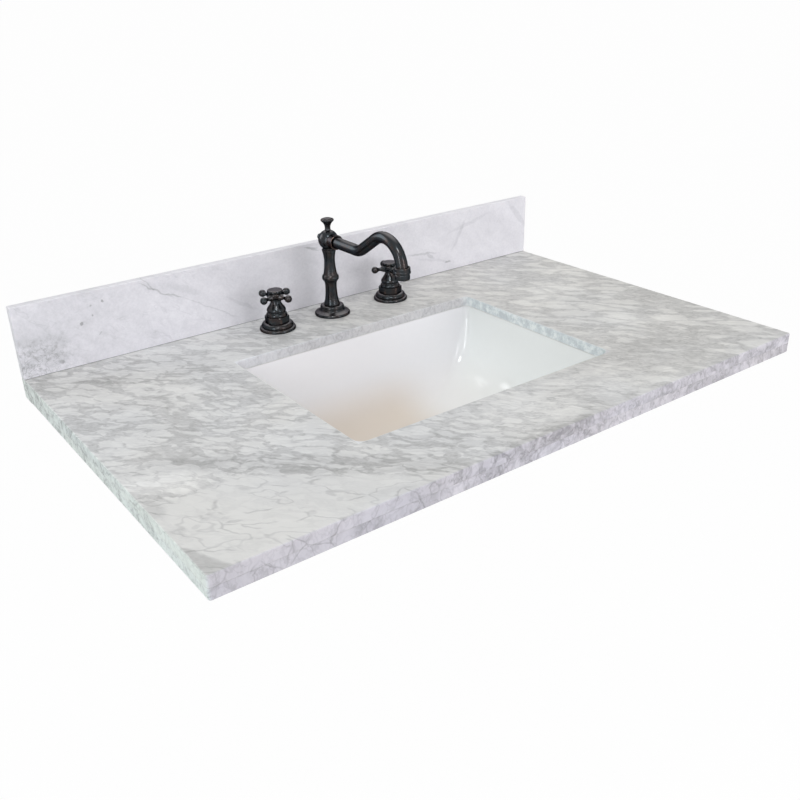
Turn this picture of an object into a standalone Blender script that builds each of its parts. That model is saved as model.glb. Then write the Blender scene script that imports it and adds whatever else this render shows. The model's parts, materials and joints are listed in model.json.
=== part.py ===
# Marble vanity top with an undermount basin, a backsplash, a widespread two handle faucet and a pop-up drain.
# Metres, +Z up. The origin is the middle of the rear strip's underside, where the top rests on its cabinet.
# +X runs to the right end, +Y to the wall behind the backsplash.

import math

import bmesh
import bpy
from mathutils import Matrix, Vector

MM = 0.001

# Fits that every piece uses
TOUCH_GAP = 0.3 * MM
BOND_GAP = 0.2 * MM
OVERRUN = 4 * MM
MERGE_DISTANCE = 0.02 * MM

# Facets round each kind of turned piece
LARGE_STEPS = 20
MEDIUM_STEPS = 16
HIDDEN_STEPS = 14
SMALL_STEPS = 12
ARM_STEPS = 8
CORNER_STEPS = 4

# Stone top
TOP_WIDTH = 914.4 * MM
TOP_DEPTH = 558.8 * MM
SLAB_THICKNESS = 14.3 * MM
STRIP_THICKNESS = 14.3 * MM
FRONT_STRIP_WIDTH = 50 * MM
SIDE_STRIP_WIDTH = 50 * MM
REAR_STRIP_WIDTH = 28 * MM
PLAN_CORNER_RADIUS = 3 * MM
EDGE_EASE = 1.2 * MM
FLAT_SHADING = math.radians(18)
CORNER_SEGMENTS = 3
EASE_SEGMENTS = 2
TOP_SURFACE = STRIP_THICKNESS + SLAB_THICKNESS
REAR_EDGE = REAR_STRIP_WIDTH / 2
FRONT_EDGE = REAR_EDGE - TOP_DEPTH

# Backsplash on its bed of silicone
SPLASH_HEIGHT = 101.6 * MM
SPLASH_THICKNESS = 12 * MM
SPLASH_BED = 0.9 * MM
SPLASH_BED_SETBACK = 0.4 * MM
SPLASH_EASE = 1 * MM

# Faucet holes
FAUCET_SPREAD = 203.2 * MM
FAUCET_REAR_MARGIN = 63.5 * MM
FAUCET_HOLE_RADIUS = 17.5 * MM
SPOUT_SETBACK = 2.5 * MM
LEFT_VALVE_SHIFT = 2.4 * MM
RIGHT_VALVE_SHIFT = 8.6 * MM
VALVE_Y = REAR_EDGE - FAUCET_REAR_MARGIN
SPOUT_Y = VALVE_Y + SPOUT_SETBACK
LEFT_VALVE_X = LEFT_VALVE_SHIFT - FAUCET_SPREAD / 2
RIGHT_VALVE_X = FAUCET_SPREAD / 2 + RIGHT_VALVE_SHIFT

# Basin cutout in the slab
CUTOUT_WIDTH = 419.1 * MM
CUTOUT_FRONT_MARGIN = 119.5 * MM
FAUCET_TO_CUTOUT = 74 * MM
CUTOUT_CORNER_RADIUS = 12 * MM
CUTOUT_EASE = 1 * MM
CUTOUT_FRONT = FRONT_EDGE + CUTOUT_FRONT_MARGIN
CUTOUT_REAR = VALVE_Y - FAUCET_TO_CUTOUT
CUTOUT_DEPTH = CUTOUT_REAR - CUTOUT_FRONT
CUTOUT_Y = (CUTOUT_FRONT + CUTOUT_REAR) / 2

# Undermount basin
BASIN_DEPTH = 127 * MM
BASIN_WALL = 10 * MM
BASIN_RIM_WIDTH = 20 * MM
BASIN_RIM_THICKNESS = 12 * MM
BASIN_REVEAL = 0.5 * MM
BASIN_FLOOR_HALF_WIDTH = 80 * MM
BASIN_FLOOR_HALF_DEPTH = 46 * MM
BASIN_FLOOR_CORNER = 34 * MM
BASIN_BOSS_RADIUS = 39 * MM
BASIN_BOSS_DEPTH = 33 * MM
SEALANT_BEAD = 1 * MM
DRAIN_SETBACK = 20 * MM
DRAIN_Y = CUTOUT_Y + DRAIN_SETBACK
BASIN_RIM_Z = STRIP_THICKNESS - SEALANT_BEAD
BASIN_FLOOR_Z = BASIN_RIM_Z - BASIN_DEPTH

# How the bowl closes in from its mouth to its floor: share of the depth, share of the way in
BOWL_SHARES = (
    (0.0, 0.0), (0.2, 0.028), (0.42, 0.084), (0.6, 0.155), (0.74, 0.256),
    (0.85, 0.39), (0.925, 0.548), (0.97, 0.71), (0.992, 0.86), (1.0, 1.0),
)
# Corner radius at each of those levels, between the cutout's and the floor's: share of the way
BOWL_CORNER_SHARES = (0.0, 0.1, 0.22, 0.34, 0.5, 0.72, 1.0, 1.15, 1.1, 1.0)

# Overflow channel in the front wall of the basin
OVERFLOW_WIDTH = 28 * MM
OVERFLOW_HEIGHT = 9 * MM
OVERFLOW_SKIN = 5 * MM
OVERFLOW_GAP = 8 * MM
OVERFLOW_CHEEK = 8 * MM
OVERFLOW_SLOT_DROP = 31 * MM
OVERFLOW_HEAD_DROP = 20 * MM

# Clips that hold the basin's rim to the slab
CLIP_WIDTH = 20 * MM
CLIP_PLATE = 2.5 * MM
CLIP_FOOT_LAP = 8.5 * MM
CLIP_PAD_LENGTH = 22 * MM
CLIP_RIM_GAP = 0.5 * MM
CLIP_BOLT_OFFSET = 13 * MM
CLIP_BOLT_RADIUS = 3 * MM
CLIP_BOLT_DEPTH = 9 * MM
CLIP_BOLT_HEAD_RADIUS = 5.8 * MM
CLIP_BOLT_HEAD_HEIGHT = 4 * MM
CLIP_FRONT_INSET = 90 * MM
CLIP_REAR_INSET = 45 * MM
CLIP_FRONT_X = CUTOUT_WIDTH / 2 - CLIP_FRONT_INSET
CLIP_REAR_X = CUTOUT_WIDTH / 2 - CLIP_REAR_INSET

# Pop-up drain
DRAIN_HOLE_RADIUS = 22.5 * MM
DRAIN_FLANGE_RADIUS = 31 * MM
DRAIN_FLANGE_HEIGHT = 3 * MM
DRAIN_BORE_RADIUS = 15.5 * MM
DRAIN_NIPPLE_RADIUS = 18 * MM
DRAIN_NIPPLE_LENGTH = 26 * MM
DRAIN_PORT_WIDTH = 11 * MM
DRAIN_PORT_HEIGHT = 7 * MM
DRAIN_BODY_RADIUS = 21 * MM
DRAIN_BODY_TOP_DROP = 18 * MM
DRAIN_BODY_LENGTH = 64 * MM
DRAIN_LOWER_RADIUS = 19 * MM
DRAIN_LOWER_BORE = 16.3 * MM
DRAIN_GASKET_RADIUS = 30 * MM
DRAIN_GASKET_HEIGHT = 5 * MM
DRAIN_WASHER_RADIUS = 28 * MM
DRAIN_WASHER_HEIGHT = 1.6 * MM
DRAIN_NUT_RADIUS = 30 * MM
DRAIN_NUT_HEIGHT = 9 * MM
TAILPIECE_RADIUS = 15.9 * MM
TAILPIECE_WALL = 1.2 * MM
TAILPIECE_LAP = 9 * MM
TAILPIECE_LENGTH = 29 * MM
PIVOT_DROP = 50 * MM
PIVOT_OFFSET = 28 * MM
PIVOT_BOSS_RADIUS = 10.5 * MM
PIVOT_BALL_RADIUS = 6 * MM
PIVOT_ROD_RADIUS = 2.5 * MM
PIVOT_ROD_INNER_REACH = 31 * MM
PIVOT_ROD_TAIL = 9 * MM
PIVOT_BOSS_END = 34 * MM
PIVOT_NUT_RADIUS = 14.5 * MM
PIVOT_NUT_LENGTH = 12 * MM
PIVOT_NUT_END = 4 * MM
PIVOT_NUT_MOUTH = 5.2 * MM
STOPPER_RADIUS = 20.5 * MM
STOPPER_HEIGHT = 6.5 * MM
STOPPER_STEM_RADIUS = 4 * MM
STOPPER_EYE_RADIUS = 7.5 * MM
STOPPER_EYE_WIDTH = 5 * MM
STOPPER_EYE_HOLE = 3.6 * MM
STOPPER_TRAVEL = 6 * MM

# Lift rod, its knob and the strap that joins it to the pivot rod
LIFT_TRAVEL = 38 * MM
LIFT_ROD_RADIUS = 2.4 * MM
LIFT_KNOB_RADIUS = 9.9 * MM
LIFT_KNOB_HEIGHT = 18.4 * MM
LIFT_KNOB_SOCKET = 7 * MM
STRAP_WIDTH = 14 * MM
STRAP_THICKNESS = 1.8 * MM
STRAP_BLOCK_SIDE = 12 * MM
STRAP_BLOCK_HEIGHT = 14 * MM
STRAP_BLOCK_TOP_DROP = 112 * MM
STRAP_HOLE_RADIUS = 3.5 * MM
STRAP_HOLE_PITCH = 12 * MM
STRAP_HOLES = 4
STRAP_END = 9 * MM
THUMBSCREW_RADIUS = 2 * MM
THUMBSCREW_HEAD_RADIUS = 6 * MM
THUMBSCREW_HEAD_WIDTH = 3 * MM
THUMBSCREW_STANDOFF = 5 * MM

# Valve under each handle
VALVE_FLANGE_RADIUS = 27 * MM
VALVE_FLANGE_HEIGHT = 11.5 * MM
VALVE_BODY_RADIUS = 11.2 * MM
VALVE_NUT_FLAT_RADIUS = 15.6 * MM
VALVE_NUT_HEIGHT = 9.2 * MM
VALVE_NUT_CHAMFER = 1.6 * MM
BONNET_RADIUS = 15.4 * MM
BONNET_HEIGHT = 22.6 * MM
STEM_RADIUS = 3.9 * MM
STEM_TOP_LAP = 8.5 * MM
STEM_FOOT_LAP = 9 * MM
VALVE_BODY_DROP = 46 * MM
VALVE_INLET_RADIUS = 10.4 * MM
VALVE_INLET_LENGTH = 16 * MM
VALVE_INLET_BORE = 6 * MM
VALVE_INLET_BORE_DEPTH = 22 * MM
OUTLET_NIPPLE_RADIUS = 6.5 * MM
OUTLET_NIPPLE_REACH = 26 * MM
OUTLET_NIPPLE_BORE = 2 * MM
OUTLET_NIPPLE_DROP = 32 * MM
FAUCET_WASHER_RADIUS = 21.5 * MM
FAUCET_WASHER_HEIGHT = 2 * MM
FAUCET_NUT_FLAT_RADIUS = 16 * MM
FAUCET_NUT_HEIGHT = 8 * MM

# Cross handle and its cap
HUB_RADIUS = 7.2 * MM
HUB_HEIGHT = 11.4 * MM
HUB_FLARE_RADIUS = 10 * MM
ARM_HEIGHT = 6.3 * MM
ARM_REACH = 25.2 * MM
ARM_BALL_RADIUS = 5.5 * MM
ARM_ROOT_RADIUS = 4.4 * MM
ARM_WAIST_RADIUS = 2.1 * MM
ARM_START = 4.6 * MM
ARM_COUNT = 4
CAP_RADIUS = 11.6 * MM
CAP_HEIGHT = 4.9 * MM
LEFT_HANDLE_ANGLE = math.radians(19.5)
RIGHT_HANDLE_ANGLE = math.radians(-13.5)
LEFT_NUT_ANGLE = math.radians(8)
RIGHT_NUT_ANGLE = math.radians(22)

# Spout
SPOUT_FLANGE_RADIUS = 27.2 * MM
SPOUT_FLANGE_HEIGHT = 15.2 * MM
SHANK_RADIUS = 11 * MM
SHANK_BORE = 7.5 * MM
SHANK_DROP = 48 * MM
COLUMN_BEAD_RADIUS = 13 * MM
COLUMN_HEIGHT = 87.4 * MM
COLUMN_BORE = 6.2 * MM
BALL_RADIUS = 15.2 * MM
BALL_NECK_RADIUS = 9.6 * MM
BALL_RISE = 14.2 * MM
BALL_ARC_STEPS = 8
GUIDE_RADIUS = 4.3 * MM
GUIDE_BORE = 2.9 * MM
GUIDE_COLLAR_RADIUS = 11 * MM
GUIDE_COLLAR_HEIGHT = 3 * MM
COLLAR_RADIUS = 10.6 * MM
COLLAR_REACH = 24 * MM
COLLAR_LIP = 0.5 * MM
COLLAR_LIP_LENGTH = 3 * MM
TUBE_RADIUS = 8.4 * MM
TUBE_BORE = 6.2 * MM
TUBE_START = 7 * MM
TUBE_SIDES_RESOLUTION = 4
TUBE_BORE_RESOLUTION = 2
TUBE_STEP = 12 * MM
SPOUT_REACH = 185.5 * MM
CREST_RISE = 33.2 * MM
CREST_FRONT_RADIUS = 38.5 * MM
CREST_BACK_RADIUS = 42 * MM
VALLEY_RADIUS = 32 * MM
RISE_ANGLE = math.radians(33)
OUTLET_STRAIGHT = 4 * MM
REAR_KNOB_RADIUS = 5.2 * MM
REAR_KNOB_LENGTH = 11 * MM
AERATOR_RADIUS = 11.9 * MM
AERATOR_HEIGHT = 17 * MM
AERATOR_TUBE_GAP = 1 * MM
AERATOR_TUBE_LAP = 10 * MM
AERATOR_BORE = 8.6 * MM
AERATOR_INSERT_HEIGHT = 5 * MM
AERATOR_INSERT_RECESS = 1 * MM
AERATOR_HOLE_RADIUS = 1.3 * MM
AERATOR_HOLE_RING = 5.2 * MM
AERATOR_HOLES = 6

# Turned outlines from the bottom up: share of the radius, share of the height
VALVE_FLANGE_SHARES = (
    (1.0, 0.0), (1.0, 0.26), (0.975, 0.38), (0.915, 0.44), (0.9, 0.52), (0.9, 0.58),
    (0.86, 0.76), (0.77, 0.91), (0.69, 1.0),
)
BONNET_SHARES = (
    (1.0, 0.0), (1.0, 0.08), (0.95, 0.17), (0.855, 0.215), (0.82, 0.26), (0.905, 0.31), (0.93, 0.38),
    (0.905, 0.46), (0.81, 0.57), (0.67, 0.7), (0.56, 0.83), (0.505, 0.93), (0.49, 1.0),
)
SPOUT_FLANGE_SHARES = (
    (1.0, 0.0), (1.0, 0.17), (0.962, 0.265), (0.86, 0.34), (0.75, 0.44), (0.688, 0.54),
    (0.676, 0.82), (0.645, 0.94), (0.59, 1.0),
)
COLUMN_SHARES = (
    (0.945, 0.0), (0.92, 0.025), (0.82, 0.085), (0.74, 0.165), (0.685, 0.275), (0.685, 0.36), (0.72, 0.403),
    (0.83, 0.435), (0.96, 0.462), (1.0, 0.492), (0.96, 0.522), (0.83, 0.55), (0.755, 0.6),
    (0.67, 0.7), (0.635, 0.8), (0.67, 0.872), (0.735, 0.93), (0.82, 0.975), (0.838, 1.0),
)
LIFT_KNOB_SHARES = (
    (0.47, 0.0), (0.43, 0.14), (0.43, 0.26), (0.5, 0.42), (0.64, 0.57), (0.88, 0.71), (1.0, 0.78), (1.0, 0.87),
    (0.93, 0.91), (0.72, 0.92), (0.68, 0.96), (0.45, 0.995), (0.2, 1.0),
)
REAR_KNOB_SHARES = (
    (0.46, 0.0), (0.46, 0.15), (0.8, 0.26), (0.97, 0.4), (1.0, 0.54), (0.93, 0.74), (0.7, 0.9), (0.36, 0.985),
    (0.12, 1.0),
)
AERATOR_SHARES = (
    (0.86, 0.0), (0.885, 0.03), (0.885, 0.38), (0.84, 0.43), (0.84, 0.49), (1.0, 0.53), (1.0, 0.64),
    (0.955, 0.69), (0.955, 0.96), (0.915, 1.0),
)
CAP_SHARES = ((0.9, 0.0), (0.985, 0.12), (1.0, 0.3), (1.0, 0.72), (0.95, 0.92), (0.82, 1.0))
HUB_SHARES = ((1.0, 0.0), (1.0, 0.62), (1.08, 0.76), (1.25, 0.9), (1.389, 1.0))
STOPPER_SHARES = (
    (0.19, 0.0), (0.78, 0.08), (0.8, 0.34), (0.97, 0.42), (1.0, 0.56), (0.94, 0.72), (0.62, 0.92), (0.2, 1.0),
)
# Cross arm from the hub outward: share of the reach, share of the way from the waist's radius to the ball's
ARM_OUTLINE_SHARES = ((0.54, 0.0), (0.64, 0.03), (0.74, 0.24), (0.81, 0.55))
ARM_BALL_ANGLES = tuple(math.radians(a) for a in (114, 74, 36))

# Surface colours, roughness and metallic value
STONE = ("carrara_marble", (0.78, 0.78, 0.77, 1.0), 0.22, 0.0)
CERAMIC = ("glazed_ceramic", (0.9, 0.9, 0.88, 1.0), 0.08, 0.0)
SILICONE = ("grey_silicone", (0.5, 0.5, 0.5, 1.0), 0.5, 0.0)
CLEAR_SEALANT = ("white_sealant", (0.82, 0.82, 0.8, 1.0), 0.4, 0.0)
BRONZE = ("dark_bronze", (0.035, 0.032, 0.032, 1.0), 0.32, 1.0)
WORN_BRONZE = ("worn_bronze", (0.06, 0.042, 0.035, 1.0), 0.34, 1.0)
BRASS = ("brass", (0.72, 0.55, 0.25, 1.0), 0.35, 1.0)
STEEL = ("zinc_steel", (0.62, 0.63, 0.65, 1.0), 0.38, 1.0)
RUBBER = ("black_rubber", (0.03, 0.03, 0.03, 1.0), 0.7, 0.0)
PLASTIC = ("white_plastic", (0.85, 0.85, 0.85, 1.0), 0.45, 0.0)


def clear_scene():
    for item in list(bpy.data.objects):
        bpy.data.objects.remove(item, do_unlink=True)


def new_collection(name):
    group = bpy.data.collections.new(name)
    bpy.context.scene.collection.children.link(group)
    return group


clear_scene()
PARTS = new_collection("vanity_sink_top")
CUTTERS = new_collection("cutters")


def material(look):
    name, colour, roughness, metallic = look
    found = bpy.data.materials.get(name)
    if found:
        return found
    made = bpy.data.materials.new(name)
    made.use_nodes = True
    shader = made.node_tree.nodes["Principled BSDF"]
    shader.inputs["Base Color"].default_value = colour
    shader.inputs["Roughness"].default_value = roughness
    shader.inputs["Metallic"].default_value = metallic
    return made


def add_object(name, mesh, look=None, location=(0, 0, 0)):
    """Link a mesh as a named piece, or as a cutter when it has no look."""
    made = bpy.data.objects.new(name, mesh)
    made.location = location
    if look:
        mesh.materials.append(material(look))
        PARTS.objects.link(made)
    else:
        CUTTERS.objects.link(made)
        made.hide_render = True
        made.display_type = "WIRE"
    return made


def finish_mesh(bm, name, sharp=math.radians(35)):
    bmesh.ops.recalc_face_normals(bm, faces=bm.faces)
    mesh = bpy.data.meshes.new(name)
    bm.to_mesh(mesh)
    bm.free()
    mesh.shade_smooth()
    mesh.set_sharp_from_angle(angle=sharp)
    return mesh


def boolean(target, tool, operation):
    step = target.modifiers.new(operation.lower() + "_" + tool.name, "BOOLEAN")
    step.operation = operation
    step.object = tool
    step.solver = "EXACT"
    return step


def cut(target, tool):
    return boolean(target, tool, "DIFFERENCE")


def join(target, tool):
    return boolean(target, tool, "UNION")


def turned(name, outline, look=None, location=(0, 0, 0), steps=MEDIUM_STEPS, bore=0.0):
    """Turn an outline of (radius, height) points, listed from the bottom up, about the local Z axis."""
    points = list(reversed(outline))
    if bore:
        loop = [(bore, points[0][1])] + points + [(bore, points[-1][1])]
    else:
        loop = [(0.0, points[0][1])] + points + [(0.0, points[-1][1])]
    bm = bmesh.new()
    verts = [bm.verts.new((radius, 0.0, height)) for radius, height in loop]
    for first, second in zip(verts, verts[1:]):
        bm.edges.new((first, second))
    if bore:
        bm.edges.new((verts[-1], verts[0]))
    mesh = bpy.data.meshes.new(name)
    bm.to_mesh(mesh)
    bm.free()
    made = add_object(name, mesh, look, location)
    screw = made.modifiers.new("turn", "SCREW")
    screw.axis = "Z"
    screw.angle = math.tau
    screw.steps = steps
    screw.render_steps = steps
    screw.use_merge_vertices = True
    screw.merge_threshold = MERGE_DISTANCE
    screw.use_smooth_shade = True
    return made


def scaled(shares, radius, height, base=0.0):
    return [(radius * r, base + height * h) for r, h in shares]


def rod(name, radius, bottom, top, look=None, location=(0, 0, 0), steps=SMALL_STEPS, bore=0.0):
    return turned(name, [(radius, bottom), (radius, top)], look, location, steps, bore)


def hexagon(name, flat_radius, bottom, top, chamfer, look, location, angle, bore):
    """A hexagonal nut: a six sided prism whose corners are chamfered by a turned envelope."""
    corner = flat_radius / math.cos(math.pi / 6)
    bm = bmesh.new()
    spin = Matrix.Rotation(angle, 4, "Z") @ Matrix.Translation((0, 0, (bottom + top) / 2))
    bmesh.ops.create_cone(bm, cap_ends=True, segments=6, radius1=corner, radius2=corner,
                          depth=top - bottom, matrix=spin)
    made = add_object(name, finish_mesh(bm, name), look, location)
    if chamfer:
        envelope = [(corner - chamfer, bottom), (corner, bottom + chamfer / 2), (corner, top - chamfer / 2),
                    (corner - chamfer, top)]
        envelope = [(radius + TOUCH_GAP / 3, height) for radius, height in envelope]
        tool = turned(name + "_envelope", envelope, None, location, MEDIUM_STEPS)
        boolean(made, tool, "INTERSECT")
    hole = rod(name + "_bore", bore, bottom - OVERRUN, top + OVERRUN, None, location, HIDDEN_STEPS)
    cut(made, hole)
    return made


def block(name, low, high, look=None, corners=(), corner_radius=0.0, eased=None, ease=0.0, segments=EASE_SEGMENTS):
    """A box between two corners, with chosen upright corners rounded and chosen edges eased."""
    low, high = Vector(low), Vector(high)
    middle, size = (low + high) / 2, high - low
    bm = bmesh.new()
    bmesh.ops.create_cube(bm, size=1.0)
    bmesh.ops.scale(bm, vec=size, verts=bm.verts)
    if corners:
        upright = []
        for edge in bm.edges:
            first, second = (v.co for v in edge.verts)
            if (first.xy - second.xy).length < MERGE_DISTANCE:
                if (math.copysign(1, first.x), math.copysign(1, first.y)) in corners:
                    upright.append(edge)
        bmesh.ops.bevel(bm, geom=upright, offset=corner_radius, offset_type="OFFSET",
                        segments=CORNER_SEGMENTS, profile=0.5, affect="EDGES")
    if eased:
        chosen = [edge for edge in bm.edges if eased(edge, size / 2)]
        bmesh.ops.bevel(bm, geom=chosen, offset=ease, offset_type="OFFSET", segments=segments,
                        profile=0.5, affect="EDGES")
    return add_object(name, finish_mesh(bm, name, FLAT_SHADING), look, middle)


def on_level(edge, half, side):
    return all(abs(v.co.z - side * half.z) < MERGE_DISTANCE for v in edge.verts)


def mid(edge):
    return (edge.verts[0].co + edge.verts[1].co) / 2


def rounded_ring(half_x, half_y, radius, x, y, z, steps=CORNER_STEPS):
    """Points of a rectangle with round corners, anticlockwise from above."""
    points = []
    for index, (sx, sy) in enumerate(((1, 1), (-1, 1), (-1, -1), (1, -1))):
        cx, cy = x + sx * (half_x - radius), y + sy * (half_y - radius)
        for step in range(steps + 1):
            angle = math.pi / 2 * (index + step / steps)
            points.append((cx + radius * math.cos(angle), cy + radius * math.sin(angle), z))
    return points


def loft(name, rings, look=None, location=(0, 0, 0), closed=False, sharp=math.radians(35)):
    """Bridge rings of equally many points, and cap the ends or close the loop."""
    bm = bmesh.new()
    rows = [[bm.verts.new(point) for point in ring] for ring in rings]
    pairs = list(zip(rows, rows[1:]))
    if closed:
        pairs.append((rows[-1], rows[0]))
    for lower, upper in pairs:
        count = len(lower)
        for i in range(count):
            j = (i + 1) % count
            bm.faces.new((lower[i], lower[j], upper[j], upper[i]))
    if not closed:
        bm.faces.new(list(reversed(rows[0])))
        bm.faces.new(rows[-1])
    return add_object(name, finish_mesh(bm, name, sharp), look, location)


def prism(name, outline, half_width, look, location, angle=0.0):
    """Extrude an outline of (y, z) points along X, both ways from the middle."""
    bm = bmesh.new()
    face = bm.faces.new([bm.verts.new((-half_width, y, z)) for y, z in outline])
    swept = bmesh.ops.extrude_face_region(bm, geom=[face])
    moved = [item for item in swept["geom"] if isinstance(item, bmesh.types.BMVert)]
    bmesh.ops.translate(bm, vec=(half_width * 2, 0, 0), verts=moved)
    made = add_object(name, finish_mesh(bm, name), look, location)
    made.rotation_euler.z = angle
    return made


def turn_along_y(item, direction):
    """Lay a turned piece down so that its local Z runs along +Y or -Y."""
    item.rotation_euler.x = -math.pi / 2 * direction
    return item


# Stone top

def clip_places():
    front = CUTOUT_FRONT - BASIN_RIM_WIDTH
    rear = CUTOUT_REAR + BASIN_RIM_WIDTH
    return (
        ("front_left", -CLIP_FRONT_X, front, -1), ("front_right", CLIP_FRONT_X, front, -1),
        ("rear_left", -CLIP_REAR_X, rear, 1), ("rear_right", CLIP_REAR_X, rear, 1),
    )


def faucet_places():
    return (("left", LEFT_VALVE_X, VALVE_Y), ("centre", 0.0, SPOUT_Y), ("right", RIGHT_VALVE_X, VALVE_Y))


def cutout_cutter():
    half_x, half_y = CUTOUT_WIDTH / 2, CUTOUT_DEPTH / 2
    flare = CUTOUT_EASE + OVERRUN
    levels = ((STRIP_THICKNESS - OVERRUN, 0.0), (TOP_SURFACE - CUTOUT_EASE, 0.0), (TOP_SURFACE + OVERRUN, flare))
    rings = [rounded_ring(half_x + grow, half_y + grow, CUTOUT_CORNER_RADIUS + grow, 0, CUTOUT_Y, z)
             for z, grow in levels]
    return loft("cutout_cutter", rings)


def countertop_slab():
    half_x = TOP_WIDTH / 2

    def top_edges(edge, half):
        return on_level(edge, half, 1) and mid(edge).y < half.y - MERGE_DISTANCE

    slab = block("countertop_slab", (-half_x, FRONT_EDGE, STRIP_THICKNESS), (half_x, REAR_EDGE, TOP_SURFACE), STONE,
                 corners=((-1, -1), (1, -1)), corner_radius=PLAN_CORNER_RADIUS, eased=top_edges, ease=EDGE_EASE)
    cut(slab, cutout_cutter())
    for side, x, y in faucet_places():
        cut(slab, rod("faucet_hole_" + side, FAUCET_HOLE_RADIUS, STRIP_THICKNESS - OVERRUN, TOP_SURFACE + OVERRUN,
                      None, (x, y, 0), MEDIUM_STEPS))
    for side, x, y, way in clip_places():
        cut(slab, rod("anchor_hole_" + side, CLIP_BOLT_RADIUS + TOUCH_GAP, STRIP_THICKNESS - OVERRUN,
                      STRIP_THICKNESS + CLIP_BOLT_DEPTH + TOUCH_GAP, None, (x, y + way * CLIP_BOLT_OFFSET, 0),
                      ARM_STEPS))
    return slab


def edge_strips():
    half_x = TOP_WIDTH / 2
    top = STRIP_THICKNESS - BOND_GAP
    front_end, rear_end = FRONT_EDGE + FRONT_STRIP_WIDTH, REAR_EDGE - REAR_STRIP_WIDTH

    def bottom_edges(edge, half):
        return on_level(edge, half, -1) and mid(edge).y < half.y - MERGE_DISTANCE

    def left_bottom(edge, half):
        return on_level(edge, half, -1) and mid(edge).x < -half.x + MERGE_DISTANCE

    def right_bottom(edge, half):
        return on_level(edge, half, -1) and mid(edge).x > half.x - MERGE_DISTANCE

    block("edge_strip_front", (-half_x, FRONT_EDGE, 0), (half_x, front_end, top), STONE, corners=((-1, -1), (1, -1)),
          corner_radius=PLAN_CORNER_RADIUS, eased=bottom_edges, ease=EDGE_EASE)
    block("edge_strip_rear", (-half_x, rear_end, 0), (half_x, REAR_EDGE, top), STONE)
    block("edge_strip_left", (-half_x, front_end + BOND_GAP, 0), (-half_x + SIDE_STRIP_WIDTH, rear_end - BOND_GAP, top),
          STONE, eased=left_bottom, ease=EDGE_EASE)
    block("edge_strip_right", (half_x - SIDE_STRIP_WIDTH, front_end + BOND_GAP, 0), (half_x, rear_end - BOND_GAP, top),
          STONE, eased=right_bottom, ease=EDGE_EASE)


def backsplash():
    half_x = TOP_WIDTH / 2
    front = REAR_EDGE - SPLASH_THICKNESS
    foot = TOP_SURFACE + SPLASH_BED

    def exposed(edge, half):
        spot = mid(edge)
        on_top = on_level(edge, half, 1) and spot.y < half.y - MERGE_DISTANCE
        on_front = abs(spot.y + half.y) < MERGE_DISTANCE and abs(spot.x) > half.x - MERGE_DISTANCE
        return on_top or on_front

    block("backsplash", (-half_x, front, foot), (half_x, REAR_EDGE, TOP_SURFACE + SPLASH_HEIGHT), STONE,
          eased=exposed, ease=SPLASH_EASE)
    block("backsplash_silicone_bed", (-half_x + SPLASH_BED_SETBACK, front + SPLASH_BED_SETBACK, TOP_SURFACE + BOND_GAP),
          (half_x - SPLASH_BED_SETBACK, REAR_EDGE - SPLASH_BED_SETBACK, foot - BOND_GAP), SILICONE)


# Undermount basin

def bowl_levels():
    """Half widths, centre, corner radius and height of the bowl's inner surface, from its mouth to its floor."""
    mouth_x, mouth_y = CUTOUT_WIDTH / 2 + BASIN_REVEAL, CUTOUT_DEPTH / 2 + BASIN_REVEAL
    levels = []
    for (depth, way), corner in zip(BOWL_SHARES, BOWL_CORNER_SHARES):
        half_x = mouth_x + (BASIN_FLOOR_HALF_WIDTH - mouth_x) * way
        half_y = mouth_y + (BASIN_FLOOR_HALF_DEPTH - mouth_y) * way
        radius = CUTOUT_CORNER_RADIUS + (BASIN_FLOOR_CORNER - CUTOUT_CORNER_RADIUS) * corner
        levels.append((half_x, half_y, CUTOUT_Y + DRAIN_SETBACK * way, radius, BASIN_RIM_Z - BASIN_DEPTH * depth))
    return levels


def outward(levels, index, axis):
    """Unit normal of the bowl's profile at one level, as its sideways and downward parts."""
    before = levels[max(index - 1, 0)]
    after = levels[min(index + 1, len(levels) - 1)]
    inward, down = before[axis] - after[axis], before[4] - after[4]
    length = math.hypot(inward, down)
    return down / length, inward / length


def front_profile():
    """The bowl's front wall in the plane X = 0: points and outward normals, from the mouth to the floor."""
    levels = bowl_levels()
    profile = []
    for index, (half_x, half_y, y, radius, z) in enumerate(levels):
        side, down = outward(levels, index, 1)
        profile.append(((y - half_y, z), (-side, -down)))
    return profile


def front_channel(name, half_width, near, far, head_drop, end_y):
    """A channel that follows the bowl's front wall between two distances from it, to a place under the floor."""
    rings = []
    for (y, z), (ny, nz) in front_profile():
        if z < BASIN_RIM_Z - head_drop:
            a, b = (y + ny * near, z + nz * near), (y + ny * far, z + nz * far)
            rings.append([(-half_width, *a), (half_width, *a), (half_width, *b), (-half_width, *b)])
    rings.append([(-half_width, end_y, BASIN_FLOOR_Z - near), (half_width, end_y, BASIN_FLOOR_Z - near),
                  (half_width, end_y, BASIN_FLOOR_Z - far), (-half_width, end_y, BASIN_FLOOR_Z - far)])
    return loft(name, rings)


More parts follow.
